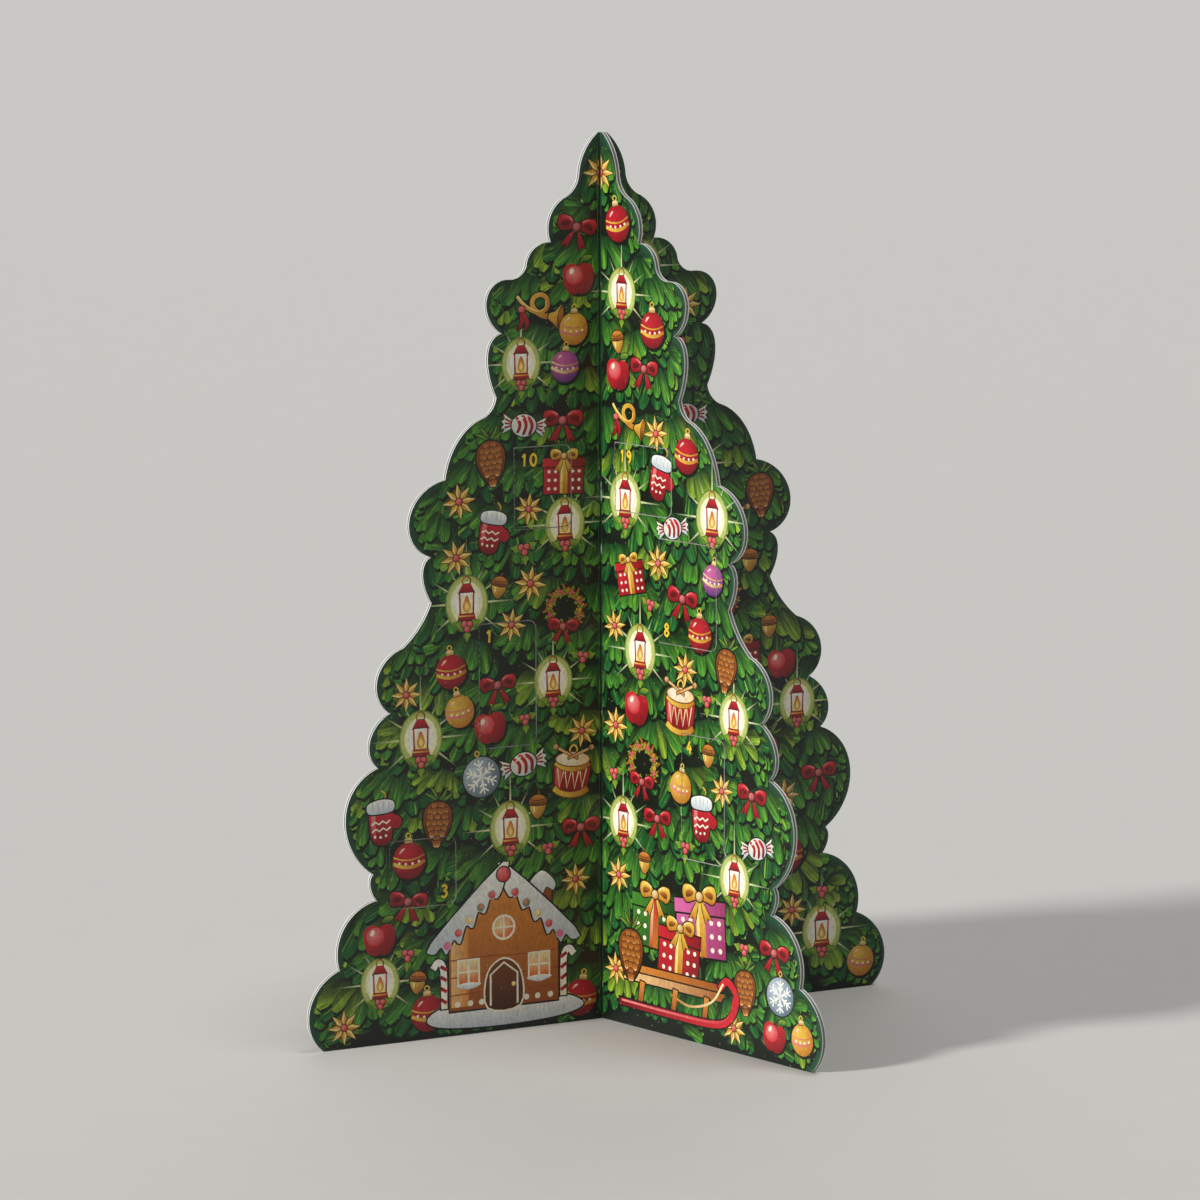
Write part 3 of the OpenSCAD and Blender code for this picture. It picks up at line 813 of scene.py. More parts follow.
digitLines = {
    "0": [[(0.5, 1), (0.14, 0.72), (0.14, 0.28), (0.5, 0), (0.86, 0.28), (0.86, 0.72), (0.5, 1)]],
    "1": [[(0.22, 0.74), (0.58, 1)], [(0.58, 1), (0.5, 0)]],
    "2": [[(0.14, 0.76), (0.42, 1), (0.8, 0.78), (0.55, 0.4), (0.1, 0.03)], [(0.08, 0.04), (0.92, 0.06)]],
    "3": [[(0.15, 0.88), (0.52, 1), (0.8, 0.77), (0.42, 0.55)],
          [(0.42, 0.55), (0.86, 0.36), (0.52, 0), (0.1, 0.12)]],
    "4": [[(0.62, 1), (0.08, 0.34)], [(0.08, 0.34), (0.94, 0.38)], [(0.7, 0.66), (0.6, 0)]],
    "5": [[(0.86, 0.97), (0.28, 0.95)], [(0.28, 0.95), (0.2, 0.56)],
          [(0.2, 0.56), (0.66, 0.64), (0.84, 0.3), (0.45, 0), (0.1, 0.1)]],
    "6": [[(0.76, 0.98), (0.32, 0.66), (0.14, 0.3), (0.46, 0), (0.84, 0.26), (0.54, 0.5), (0.18, 0.34)]],
    "7": [[(0.1, 0.95), (0.92, 0.97)], [(0.92, 0.97), (0.58, 0.5), (0.42, 0)]],
    "8": [[(0.5, 0.53), (0.18, 0.76), (0.5, 1), (0.82, 0.76), (0.5, 0.53), (0.12, 0.26), (0.5, 0),
           (0.88, 0.26), (0.5, 0.53)]],
    "9": [[(0.84, 0.7), (0.5, 0.98), (0.17, 0.72), (0.46, 0.48), (0.84, 0.7), (0.76, 0.3), (0.46, 0)]],
}
numberSet = {
    "tall": 4.5, "wide": 0.62, "step": 0.82, "ink": 0.95, "edge": 0.6, "taper": (0.85, 1.05, 0.9),
    "left": 2.6, "right": 3.2, "foot": 2.6, "top": 2.4,
}


def numberSpot(door):
    # its foot on the left and how wide it is, in one of three corners of the door
    tall, signs = numberSet["tall"], len(str(door["number"]))
    wide = tall * (numberSet["step"] * (signs - 1) + numberSet["wide"])
    pick = door["number"] % 3
    x = door["x0"] + numberSet["left"] if pick else door["x1"] - numberSet["right"] - wide
    z = door["z1"] - numberSet["top"] - tall if pick == 1 else door["z0"] + numberSet["foot"]
    return x, z, wide


def paintNumber(b, door):
    tall, step, wide = numberSet["tall"], numberSet["step"], numberSet["wide"]
    x, z, _ = numberSpot(door)
    for ink, width in (("shade", numberSet["ink"] + numberSet["edge"]), ("number", numberSet["ink"])):
        for i, sign in enumerate(str(door["number"])):
            for path in digitLines[sign]:
                spots = [(x + tall * (i * step + px * wide), z + tall * pz) for px, pz in path]
                b.line(spots, width, ink, taper=numberSet["taper"])


hangSet = {
    "grand": (41.0, 33.0), "grandClear": 30.0, "grandSize": 1.32, "numberClear": 3.6, "tries": 320,
    "reach": 112, "top": 322, "foldClear": 0.5, "footClear": 1, "rimClear": 2.2, "overlap": 0.8,
    "kinReach": 90, "chance": 12, "sizes": (0.94, 1.06),
}


def hangOrnaments(rng, page, half):
    # each ornament goes where it is furthest from its own kind, clear of the others and of the rim
    sign = 1 if half == "right" else -1
    x, z = hangSet["grand"]
    hung = [(grandMotifs[page][sign > 0], sign * x, z, hangSet["grandClear"], hangSet["grandSize"])]
    for door in doorsOn(page, half):
        x, z, wide = numberSpot(door)
        hung.append((None, x + wide / 2, z + numberSet["tall"] / 2, hangSet["numberClear"], 1.0))
    for motif, radius, size, count in ornaments:
        for _ in range(count):
            spots = [(sign * rng.uniform(radius + hangSet["foldClear"], hangSet["reach"]),
                      rng.uniform(radius + hangSet["footClear"], hangSet["top"]))
                     for _ in range(hangSet["tries"])]
            best, bestScore = None, -1
            for (x, z), gap in zip(spots, rimGap(spots)):
                if gap < radius + hangSet["rimClear"]:
                    continue
                if min(math.hypot(x - h[1], z - h[2]) - h[3] for h in hung) < radius - hangSet["overlap"]:
                    continue
                kin = [math.hypot(x - h[1], z - h[2]) for h in hung if h[0] is motif]
                score = min(kin + [hangSet["kinReach"]]) + rng.uniform(0, hangSet["chance"])
                if score > bestScore:
                    best, bestScore = (x, z), score
            if best:
                hung.append((motif, *best, radius, size * rng.uniform(*hangSet["sizes"])))
    return [h for h in hung if h[0]]


pageSet = {
    "seeds": {"front": 41, "right": 52, "back": 63, "left": 74}, "fringeSeed": 500, "swing": 12,
    "paper": plank(130, -2, 130, 340), "starDrop": 14.5, "starSize": 1.15,
    # painted shade in the crease beside the fold, and a thin painted highlight along its edge
    "foldSpan": (1.5, 326.0), "foldShade": (-0.21, 0.41), "foldHighlightAt": -1.05, "foldHighlightWidth": 0.3,
}


def paintPage(page):
    seed = pageSet["seeds"][page]
    rng = random.Random(seed)
    b = Brush()
    b.add(pageSet["paper"], "ground", "rimGreen", "rim")
    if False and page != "front":
        return b
    fringe(b, random.Random(seed + pageSet["fringeSeed"]))
    paintBoughs(b, rng)
    hung = [h for half in halves for h in hangOrnaments(rng, page, half)]
    hung.sort(key=lambda h: (h[0] is not lantern, h[0] in grandMotifs[page], -h[2]))
    for motif, x, z, _, size in hung:
        upright = motif in (lantern, *grandMotifs[page])
        with b.at(x, z, size, 0 if upright else rng.uniform(-pageSet["swing"], pageSet["swing"])):
            motif(b)
    with b.at(0, tree["height"] - pageSet["starDrop"], pageSet["starSize"]):
        strawStar(b)
    for half in halves:
        for door in doorsOn(page, half):
            paintNumber(b, door)
    # painted shade along the fold, then a thin painted highlight beside it, over all the print
    low, high = pageSet["foldSpan"]
    middle, wide = pageSet["foldShade"]
    b.poly(plank(wide, low, wide, high, middle), "shade")
    x = pageSet["foldHighlightAt"]
    b.line([(x, low), (x, high)], pageSet["foldHighlightWidth"], "rimGreen", "foldHighlightInk")
    return b


# from painted shapes to sheets
sheetSet = {
    "weld": 0.004, "exact": 1e-6, "rimSlack": 0.0004, "inkSlack": 0.012,  # how far points may be off
    "grid": 4.0, "rimBand": 6.0, "pastStroke": 1.3,
    "wornAndLit": {"step": 4.3, "gain": 2.4, "from": 1.1, "most": 0.8},
}


def valueNoise(points, step):
    cell = np.floor(points / step)
    f = points / step - cell
    fx, fz = (f * f * (3 - 2 * f)).T

    def corner(dx, dz):
        wave = np.sin((cell[:, 0] + dx) * 127.1 + (cell[:, 1] + dz) * 311.7)
        return np.modf(np.abs(wave * 43758.5453))[0]

    low = corner(0, 0) * (1 - fx) + corner(1, 0) * fx
    high = corner(0, 1) * (1 - fx) + corner(1, 1) * fx
    return low * (1 - fz) + high * fz


def inkAt(points, specs):
    fill, start, axis = specs[:, 0], specs[:, 1:3], specs[:, 3:5] - specs[:, 1:3]
    off = points - start
    along = (off * axis).sum(1) / np.maximum((axis * axis).sum(1), tiny)
    away = np.linalg.norm(off, axis=1) / np.maximum(np.linalg.norm(axis, axis=1), tiny)
    share = np.where(fill == fills["along"], along, np.where(fill == fills["round"], away, 0))
    ground = fill == fills["rim"]
    if ground.any():
        share[ground] = 1 - np.clip(rimDistance(points[ground]) / sheetSet["rimBand"], 0, 1)
    # a thin ring along each door cut: dark green broken by pale patches, partly board core worn bare at the
    # cut and partly painted highlight of the cut edge
    cut = fill == fills["wornAndLit"]
    if cut.any():
        wornAndLit = sheetSet["wornAndLit"]
        bare = valueNoise(points[cut], wornAndLit["step"]) * wornAndLit["gain"] - wornAndLit["from"]
        share[cut] = np.clip(bare, 0, wornAndLit["most"])
    share = np.clip(share, 0, 1)[:, None]
    return specs[:, 5:8] * (1 - share) + specs[:, 8:11] * share


def strokeAt(points, specs):
    # across from -1 to 1 with the upper side positive, along from 0 to 1, and the stroke's seed, 0 for none
    start, axis, width, seed = specs[:, 1:3], specs[:, 3:5] - specs[:, 1:3], specs[:, 11], specs[:, 12]
    past = sheetSet["pastStroke"]
    length = np.maximum(np.linalg.norm(axis, axis=1), tiny)
    off = points - start
    along = (off * axis).sum(1) / length ** 2
    across = (axis[:, 0] * off[:, 1] - axis[:, 1] * off[:, 0]) / length / np.maximum(width, tiny)
    stroke = np.stack([np.clip(across * np.sign(seed), -past, past), np.clip(along, 0, 1), np.abs(seed)], 1)
    return stroke * (seed != 0)[:, None]


def triangulate(loops, extra, closed=True):
    verts, edges = [], []
    for loop in loops:
        n = len(verts)
        edges += [(n + i, n + i + 1) for i in range(len(loop) - 1)]
        if closed:
            edges.append((n + len(loop) - 1, n))
        verts += [Vector(p) for p in loop]
    verts += [Vector(p) for p in extra]
    result = delaunay_2d_cdt(verts, edges, [], 0, sheetSet["weld"], False)
    return np.array([v[:] for v in result[0]]), np.array(result[2])


class Locator:
    # triangle middles, sorted for quick tests against a loop
    def __init__(self, points, tris):
        middles = points[tris].mean(1)
        self.order = np.argsort(middles[:, 0])
        self.middles = middles[self.order]
        self.open = np.ones(len(tris), bool)

    def rows(self, loop, onlyOpen=False):
        low, high = loop.min(0), loop.max(0)
        i, j = np.searchsorted(self.middles[:, 0], (low[0], high[0]))
        z = self.middles[i:j, 1]
        near = (z >= low[1]) & (z <= high[1])
        rows = i + np.flatnonzero(near & self.open[i:j] if onlyOpen else near)
        return rows[covered(self.middles[rows], loop)]

    def inside(self, loop):
        return self.order[self.rows(loop)]

    def claim(self, loop):
        rows = self.rows(loop, True)
        self.open[rows] = False
        return self.order[rows]

    def insideTree(self, sign):
        # only middles near the rim need the full test
        x, z = sign * self.middles[:, 0], self.middles[:, 1]
        level = np.clip(np.floor(z).astype(int), 0, len(rimSpan) - 1)
        low, high = rimSpan[level].T
        inner = (x < low) & (z > 0) & (z < tree["height"]) & (x > tree["spineGap"])
        near = np.flatnonzero((x >= low) & (x <= high))
        inner[near] = covered(np.stack([x[near], z[near]], 1), halfOutline["right"])
        return self.order[inner]


def sidesOf(tris):
    return np.vstack([tris[:, [0, 1]], tris[:, [1, 2]], tris[:, [2, 0]]])


def visibleEdges(points, tris, label):
    # edges between two different labels, and the set of points on the rim or in a cut
    edges = np.sort(sidesOf(tris), axis=1)
    owner = np.tile(np.arange(len(tris)), 3)
    code = edges[:, 0].astype(np.int64) * len(points) + edges[:, 1]
    order = np.argsort(code, kind="stable")
    code, owner = code[order], owner[order]
    first = np.flatnonzero(code[1:] == code[:-1])
    one, two = label[owner[first]], label[owner[first + 1]]
    single = label[owner] >= 0
    single[first] = single[first + 1] = False
    outer = (one != two) & (np.minimum(one, two) < 0)
    chosen = np.concatenate([code[first][one != two], code[single]])
    rim = np.concatenate([code[first][outer], code[single]])
    rimPoints = np.concatenate(np.divmod(rim, len(points)))
    return np.stack(np.divmod(chosen, len(points)), 1), set(rimPoints.tolist())


def edgeChains(edges):
    # runs of edges from junction to junction, then the closed ones
    links = {}
    for a, b in edges.tolist():
        links.setdefault(a, []).append(b)
        links.setdefault(b, []).append(a)
    used, ends, chains = set(), set(), []

    def walk(start, step):
        chain = [start, step]
        while len(links[chain[-1]]) == 2 and chain[-1] != start:
            used.add(chain[-1])
            one, two = links[chain[-1]]
            chain.append(two if one == chain[-2] else one)
        return chain

    for v, near in links.items():
        for n in near if len(near) != 2 else []:
            if (v, n) not in ends:
                chains.append(walk(v, n))
                ends.add((chains[-1][-1], chains[-1][-2]))
    for v, near in links.items():
        if len(near) == 2 and v not in used:
            used.add(v)
            chains.append(walk(v, near[0]))
    return chains


def plainChain(spots, chain, rim):
    # a chain without the points that hidden shapes left on it
    kept = [chain[0]]
    for spot, ahead in zip(chain[1:-1], chain[2:]):
        (ax, az), (bx, bz), (px, pz) = spots[kept[-1]], spots[ahead], spots[spot]
        reach = math.hypot(bx - ax, bz - az)
        off = abs((bx - ax) * (pz - az) - (bz - az) * (px - ax))
        slack = sheetSet["rimSlack"] if spot in rim else sheetSet["inkSlack"]
        if reach < tiny or off > slack * reach:
            kept.append(spot)
    return kept + [chain[-1]]


def paintedSheet(outline, brush, doors):
    # returns the triangles and inks of the sheet and of each door in it
    low, high = outline.min(0), outline.max(0)
    shapes = [(loop, spec) for loop, spec in zip(brush.loops, brush.specs)
              if (loop.max(0) > low).all() and (loop.min(0) < high).all()]
    edge, cut = doorSet["paleEdge"], doorSet["cut"]
    rings = [[doorOutline(door, grow) for grow in (cut + edge, cut, 0.0, -edge)] for door in doors]
    step = sheetSet["grid"]
    grid = [(x, z) for x in np.arange(low[0] + step / 2, high[0], step)
            for z in np.arange(low[1] + step / 2, high[1], step)]
    # the ring by each cut: pale worn board core and painted highlight of the cut edge
    wornLitEdge = [fills["wornAndLit"], 0, 0, 0, 0, *inkLinear["firDeep"], *inkLinear["cutPale"], 0, 0]
    specs = np.array([spec for _, spec in shapes] + [wornLitEdge], float)

    def labels(points, tris):
        find = Locator(points, tris)
        top = np.zeros(len(tris), int)
        for i in range(len(shapes) - 1, 0, -1):
            top[find.claim(shapes[i][0])] = i
        where = np.full(len(tris), -2)  # -2 outside or in a cut, -1 the sheet, else the door
        where[find.insideTree(np.sign(outline[:, 0].sum()))] = -1
        for i, ring in enumerate(rings):
            rim, gap, flap, core = (find.inside(loop) for loop in ring)
            top[np.setdiff1d(rim, gap)] = len(shapes)
            where[gap] = -2
            where[flap] = i
            top[np.setdiff1d(flap, core)] = len(shapes)
        return top, where

    loops = [outline] + [loop for loop, _ in shapes] + [loop for ring in rings for loop in ring]
    points, tris = triangulate(loops, [])
    top, where = labels(points, tris)
    seen = np.where(where == -2, -1, (where + 1) * (len(shapes) + 1) + top)
    edges, rim = visibleEdges(points, tris, seen)
    spots = points.tolist()
    lines = [points[plainChain(spots, chain, rim)] for chain in edgeChains(edges)]
    points, tris = triangulate(lines, grid, False)
    top, where = labels(points, tris)
    parts = []
    for region in range(-1, len(doors)):
        chosen = tris[where == region]
        used, index = np.unique(chosen, return_inverse=True)
        corners = points[chosen.ravel()]
        owners = np.repeat(specs[top[where == region]], 3, axis=0)
        painted = (inkAt(corners, owners), strokeAt(corners, owners))
        parts.append((points[used], index.reshape(-1, 3), *painted))
    return parts


def rimEdges(tris, count):
    # edges that only one triangle has, in that triangle's direction
    edges = sidesOf(tris)
    codes = edges[:, 0] * count + edges[:, 1]
    return edges[~np.isin(codes, edges[:, 1] * count + edges[:, 0])]


def plainBack(points, free):
    # triangles between the rim edges alone, turned to face back
    rim = np.unique(free)
    verts = [Vector(p) for p in points[rim]]
    result = delaunay_2d_cdt(verts, np.searchsorted(rim, free).tolist(), [], 0, sheetSet["exact"], True)
    spots, tris = np.array([v[:] for v in result[0]]), np.array(result[2])
    inside = covered(spots[tris].mean(1), points[free[:, 0]], points[free[:, 1]])
    source = rim[[ids[0] for ids in result[3]]]
    return source[tris[inside]][:, ::-1]


# left and right end of the print, the wall and the back in the UV square
pageIslands = ((0.008, 0.93), (0.982, 0.994), (0.94, 0.975))
doorIslands = ((0.02, 0.74), (0.945, 0.98), (0.77, 0.92))
islandSpan = (0.01, 0.98)  # lower end and height of every island
wallShare = 0.9  # how much of its own strip each face of a wall fills


def linkObject(name, data):
    made = bpy.data.objects.new(name, data)
    bpy.context.scene.collection.objects.link(made)
    return made


def sheetMesh(name, place, part, front, back, materials, islands):
    # a sheet with its print in front, cut edges all round and a plain back
    points, tris, inkList, strokeList = part
    free = rimEdges(tris, len(points))
    rim = np.unique(free)
    lift = np.zeros(len(points), int)
    lift[rim] = len(points) + np.arange(len(rim))
    flat = np.vstack([points, points[rim]])
    depth = np.concatenate([np.full(len(points), front), np.full(len(rim), back)])
    v0, tall = islandSpan
    unit = v0 + tall * (flat - points.min(0)) / np.ptp(points, axis=0)

    def island(u0, u1):
        return np.stack([u0 + unit[:, 0] * (u1 - u0), unit[:, 1]], 1)

    a, c = free.T
    wall = np.stack([c, a, lift[a], c, lift[a], lift[c]], 1).reshape(-1, 3)
    u0, u1 = islands[1]
    foot = v0 + tall * np.arange(len(free)) / len(free)
    head = foot + wallShare * tall / len(free)
    near, far = np.full(len(free), u0), np.full(len(free), u1)
    corners = [(near, head), (near, foot), (far, foot), (near, head), (far, foot), (far, head)]
    wallUv = np.stack([np.stack(corner, 1) for corner in corners], 1)
    backTris = lift[plainBack(points, free)]
    groups = [tris, wall, backTris]
    slots = np.repeat(np.arange(3), [len(group) for group in groups])
    faces = np.vstack(groups)
    uvs = np.vstack([island(*islands[0])[tris], wallUv.reshape(-1, 3, 2), island(*islands[2])[backTris]])
    inksAll, strokesAll = np.ones((len(faces) * 3, 4)), np.zeros((len(faces) * 3, 3))
    inksAll[:len(inkList), :3] = inkList
    strokesAll[:len(strokeList)] = strokeList

    def fill(data, key, values, kind=np.float32):
        data.foreach_set(key, values.astype(kind).ravel())

    mesh = bpy.data.meshes.new(name)
    mesh.vertices.add(len(flat))
    mesh.loops.add(len(faces) * 3)
    mesh.polygons.add(len(faces))
    fill(mesh.vertices, "co", toWorld(place, flat, depth))
    fill(mesh.loops, "vertex_index", faces, np.int32)
    fill(mesh.polygons, "loop_start", np.arange(0, len(faces) * 3, 3), np.int32)
    fill(mesh.polygons, "material_index", slots, np.int32)
    mesh.update(calc_edges=True)
    mesh.shade_flat()
    fill(mesh.color_attributes.new("Print", "FLOAT_COLOR", "CORNER").data, "color", inksAll)
    fill(mesh.attributes.new("Stroke", "FLOAT_VECTOR", "CORNER").data, "vector", strokesAll)
    fill(mesh.uv_layers.new(name="OFBake").data, "uv", uvs)
    for material in materials:
        mesh.materials.append(material)
    mesh.validate()
    return linkObject(name, mesh)


# materials
def feed(tree, socket, value):
    # a value is a plain one or the output of another node
    if isinstance(value, bpy.types.NodeSocket):
        tree.links.new(value, socket)
    else:
        socket.default_value = value


def addNode(tree, kind, inputs=None, **settings):
    node = tree.nodes.new(kind)
    for key, value in settings.items():
        setattr(node, key, value)
    for key, value in (inputs or {}).items():
        feed(tree, node.inputs[key], value)
    return node


def newGroup(name, kind, ins, outs):
    # a node group with its sockets, and what comes into it
    group = bpy.data.node_groups.new(name, kind)
    for label, sort, *value in ins:
        socket = group.interface.new_socket(label, in_out="INPUT", socket_type=f"NodeSocket{sort}")
        if value:
            socket.default_value = value[0]
    for label, sort in outs:
        group.interface.new_socket(label, in_out="OUTPUT", socket_type=f"NodeSocket{sort}")
    return group, group.nodes.new("NodeGroupInput").outputs


def mathNode(tree, operation, *values):
    return addNode(tree, "ShaderNodeMath", dict(enumerate(values)), operation=operation).outputs[0]


def rangeNode(tree, value, span, kind="SMOOTHSTEP"):
    names = ("Value", "From Min", "From Max", "To Min", "To Max")
    node = addNode(tree, "ShaderNodeMapRange", dict(zip(names, (value, *span))), interpolation_type=kind)
    return node.outputs["Result"]


def noiseNode(tree, at, **inputs):
    return addNode(tree, "ShaderNodeTexNoise", {"Vector": at, **inputs}).outputs["Fac"]


def objectCoords(tree):
    return addNode(tree, "ShaderNodeTexCoord").outputs["Object"]


def stretched(tree, scale):
    return addNode(tree, "ShaderNodeMapping", {"Vector": objectCoords(tree), "Scale": scale}).outputs[0]


def scaled(tree, colour, by):
    return addNode(tree, "ShaderNodeVectorMath", {0: colour, "Scale": by}, operation="SCALE").outputs[0]


def mixInk(tree, share, colour, ink):
    # the mix node keeps its sockets for colours at 6 and 7, and their result at 2
    inputs = {0: share, 6: colour, 7: (*inkLinear[ink], 1)}
    return addNode(tree, "ShaderNodeMix", inputs, data_type="RGBA").outputs[2]


paperSet = {"grain": 2600.0, "patch": 90.0, "toneSpread": 0.12, "fibreDetail": 3.0, "patchDetail": 4.0,
            "dull": (0.3, 0.7), "relief": 0.00004}


def paperGroup():
    # fibres and uneven coating of board: a tone round 1, a bump height and a mask of dull patches
    group, given = newGroup(
        "paperFibre", "ShaderNodeTree",
        [("Grain", "Float", paperSet["grain"]), ("Patch", "Float", paperSet["patch"]),
         ("Tone Spread", "Float", paperSet["toneSpread"])],
        [("Tone", "Float"), ("Height", "Float"), ("Dull", "Float")])
    coords = objectCoords(group)
    fibre = noiseNode(group, coords, Scale=given["Grain"], Detail=paperSet["fibreDetail"])
    patch = noiseNode(group, coords, Scale=given["Patch"], Detail=paperSet["patchDetail"])
    centred = mathNode(group, "SUBTRACT", mathNode(group, "ADD", fibre, patch), 1.0)
    tone = mathNode(group, "MULTIPLY_ADD", centred, given["Tone Spread"], 1.0)
    addNode(group, "NodeGroupOutput", {"Tone": tone, "Height": fibre, "Dull": patch})
    return group


brushSet = {
    "strength": 0.35, "mottleScale": (950.0, 950.0, 420.0),
    "mottle": {"Scale": 1.0, "Detail": 5.0, "Distortion": 1.2},
    "across": 3.4, "along": 1.3, "shift": (7.3, 3.1),  # how the hairs run, and apart for each stroke
    "hair": {"Scale": 1.0, "Detail": 3.0, "Roughness": 0.6, "Distortion": 0.3},
    # each from its least and most to its least and most
    "hairTone": (0.3, 0.7, 0.5, 1.6), "edgeTone": (0.15, 1.05, 1.15, 0.42),
    "litAcross": (-0.3, 0.45, 0.0, 1.0), "litAlong": (0.25, 0.75, 0.0, 1.0),
    "glint": (0.5, 0.72, 0.0, 0.75), "speck": (0.10, 0.16, 1.0, 0.0),
    "speckScale": 640.0, "speckFrom": 0.8, "speckShare": 0.4,
}


def brushGroup():
    # the painting's brushwork: mottled strokes all over, and hairs along each finger of a bough
    group, given = newGroup(
        "brushStrokes", "ShaderNodeTree",
        [("Ink", "Color", (1, 1, 1, 1)), ("Stroke", "Vector", (0, 0, 0)),
         ("Strength", "Float", brushSet["strength"])],
        [("Colour", "Color")])

    def times(one, two):
        return mathNode(group, "MULTIPLY", one, two)

    def ranged(value, key):
        return rangeNode(group, value, brushSet[key])

    mottle = noiseNode(group, stretched(group, brushSet["mottleScale"]), **brushSet["mottle"])
    uneven = mathNode(group, "SUBTRACT", mottle, 0.5)
    mottled = mathNode(group, "MULTIPLY_ADD", uneven, given["Strength"], 1.0)
    across, along, seed = addNode(group, "ShaderNodeSeparateXYZ", {0: given["Stroke"]}).outputs
    onBough = mathNode(group, "GREATER_THAN", seed, 0.5)
    shiftX, shiftZ = brushSet["shift"]
    hairX = mathNode(group, "MULTIPLY_ADD", across, brushSet["across"], times(seed, shiftX))
    hairAt = {0: hairX, 1: times(along, brushSet["along"]), 2: times(seed, shiftZ)}
    hair = noiseNode(group, addNode(group, "ShaderNodeCombineXYZ", hairAt).outputs[0], **brushSet["hair"])
    strokeTone = times(ranged(hair, "hairTone"), ranged(mathNode(group, "ABSOLUTE", across), "edgeTone"))
    tones = {0: onBough, 2: mottled, 3: times(strokeTone, mottled)}
    tone = addNode(group, "ShaderNodeMix", tones, data_type="FLOAT").outputs[0]
    lit = times(ranged(across, "litAcross"), ranged(along, "litAlong"))
    glint = times(times(lit, onBough), ranged(hair, "glint"))
    shade = scaled(group, mixInk(group, glint, given["Ink"], "firLime"), tone)
    # fine pale specks, as if flicked from a brush
    flecks = {"Vector": objectCoords(group), "Scale": brushSet["speckScale"]}
    cells = addNode(group, "ShaderNodeTexVoronoi", flecks, feature="F1").outputs
    draw = addNode(group, "ShaderNodeSeparateColor", {0: cells["Color"]}).outputs[0]
    chosen = mathNode(group, "GREATER_THAN", draw, brushSet["speckFrom"])
    speck = times(ranged(cells["Distance"], "speck"), chosen)
    share = times(speck, times(given["Strength"], brushSet["speckShare"]))
    addNode(group, "NodeGroupOutput", {"Colour": mixInk(group, share, shade, "haloPale")})
    return group


paperFibre = paperGroup()
brushStrokes = brushGroup()


def boardMaterial(name, roughness, bump, toneSpread, grain=paperSet["grain"], colour=None, strokes=0.0):
    # board in one colour, or printed where no colour is given
    material = bpy.data.materials.new(name)
    material.use_nodes = True
    tree = material.node_tree
    fibre = {"Grain": grain, "Tone Spread": toneSpread}
    paper = addNode(tree, "ShaderNodeGroup", fibre, node_tree=paperFibre).outputs
    if colour is None:
        ink = addNode(tree, "ShaderNodeAttribute", attribute_name="Print").outputs["Color"]
        stroke = addNode(tree, "ShaderNodeAttribute", attribute_name="Stroke").outputs["Vector"]
        paint = {"Ink": ink, "Stroke": stroke, "Strength": strokes}
        colour = addNode(tree, "ShaderNodeGroup", paint, node_tree=brushStrokes).outputs["Colour"]
    relief = {"Strength": bump, "Distance": paperSet["relief"], "Height": paper["Height"]}
    surface = {
        "Base Color": scaled(tree, colour, paper["Tone"]),
        "Roughness": rangeNode(tree, paper["Dull"], (*paperSet["dull"], *roughness), "LINEAR"),
        "Normal": addNode(tree, "ShaderNodeBump", relief).outputs[0],
    }
    for key, value in surface.items():
        feed(tree, tree.nodes["Principled BSDF"].inputs[key], value)
    return material


crackSet = {
    "pale": "cutPale", "scale": (900.0, 900.0, 110.0), "detail": 4.0, "bare": (0.60, 0.68, 0.0, 1.0),
}


def addCracks(material):
    # print on a fold, broken to the pale board in short cracks along it
    tree = material.node_tree
    base = tree.nodes["Principled BSDF"].inputs["Base Color"]
    crack = noiseNode(tree, stretched(tree, crackSet["scale"]), Scale=1.0, Detail=crackSet["detail"])
    bare = rangeNode(tree, crack, crackSet["bare"])
    feed(tree, base, mixInk(tree, bare, base.links[0].from_socket, crackSet["pale"]))


boardSet = {
    "printGloss": {"strokes": 0.9, "roughness": (0.3, 0.42), "toneSpread": 0.16, "bump": 0.25},
    "pictureInk": {"strokes": 0.4, "roughness": (0.42, 0.55), "toneSpread": 0.1, "bump": 0.2},
    "cardEdge": {"colour": (0.86, 0.85, 0.81), "roughness": (0.75, 0.9), "grain": 5200.0,
                 "toneSpread": 0.35, "bump": 0.6},
    "greyBack": {"colour": (0.62, 0.60, 0.55), "roughness": (0.75, 0.88), "grain": 3400.0,
                 "toneSpread": 0.2, "bump": 0.5},
    "creaseInk": {"colour": inkLinear["firDeep"], "roughness": (0.5, 0.65), "grain": 4200.0,
                  "toneSpread": 0.4, "bump": 0.5},
    # the picture sheet's cut edge: grey board, darkened further as painted shade between the pale edges of
    # the two sheets
    "shadedInnerEdge": {"colour": (0.17, 0.165, 0.15), "roughness": (0.8, 0.9), "grain": 5200.0,
                  "toneSpread": 0.4, "bump": 0.5},
    "glueFilm": {"colour": (0.36, 0.34, 0.29), "roughness": (0.45, 0.6), "grain": 900.0,
                 "toneSpread": 0.2, "bump": 0.3},
    "paleFloor": {"colour": (0.57, 0.555, 0.525), "roughness": (0.8, 0.9), "grain": 40.0,
                  "toneSpread": 0.03, "bump": 0.0},
}
boards = {name: boardMaterial(name, **settings) for name, settings in boardSet.items()}
addCracks(boards["creaseInk"])
print("materials made")


# the small pictures that the doors cover
pictureSet = {
    "motifs": [holly, apple, drum, sweet, mitten, pineCone, snowCrystal, wreath, horn, strawStar, bauble,
               redPresent],
    "grounds": [("cream", "haloEdge"), ("frost", "slate"), ("goldPale", "ginger"), ("cream", "redPale"),
                ("white", "pink")],
    "past": 1.2, "rings": (1.0, 0.7, 0.4), "ringStep": 4.0, "glow": 0.62, "flakes": 14, "flake": 0.5,
    "drift": 0.45, "lastDay": 24, "grandSpan": 54, "span": 19,
}


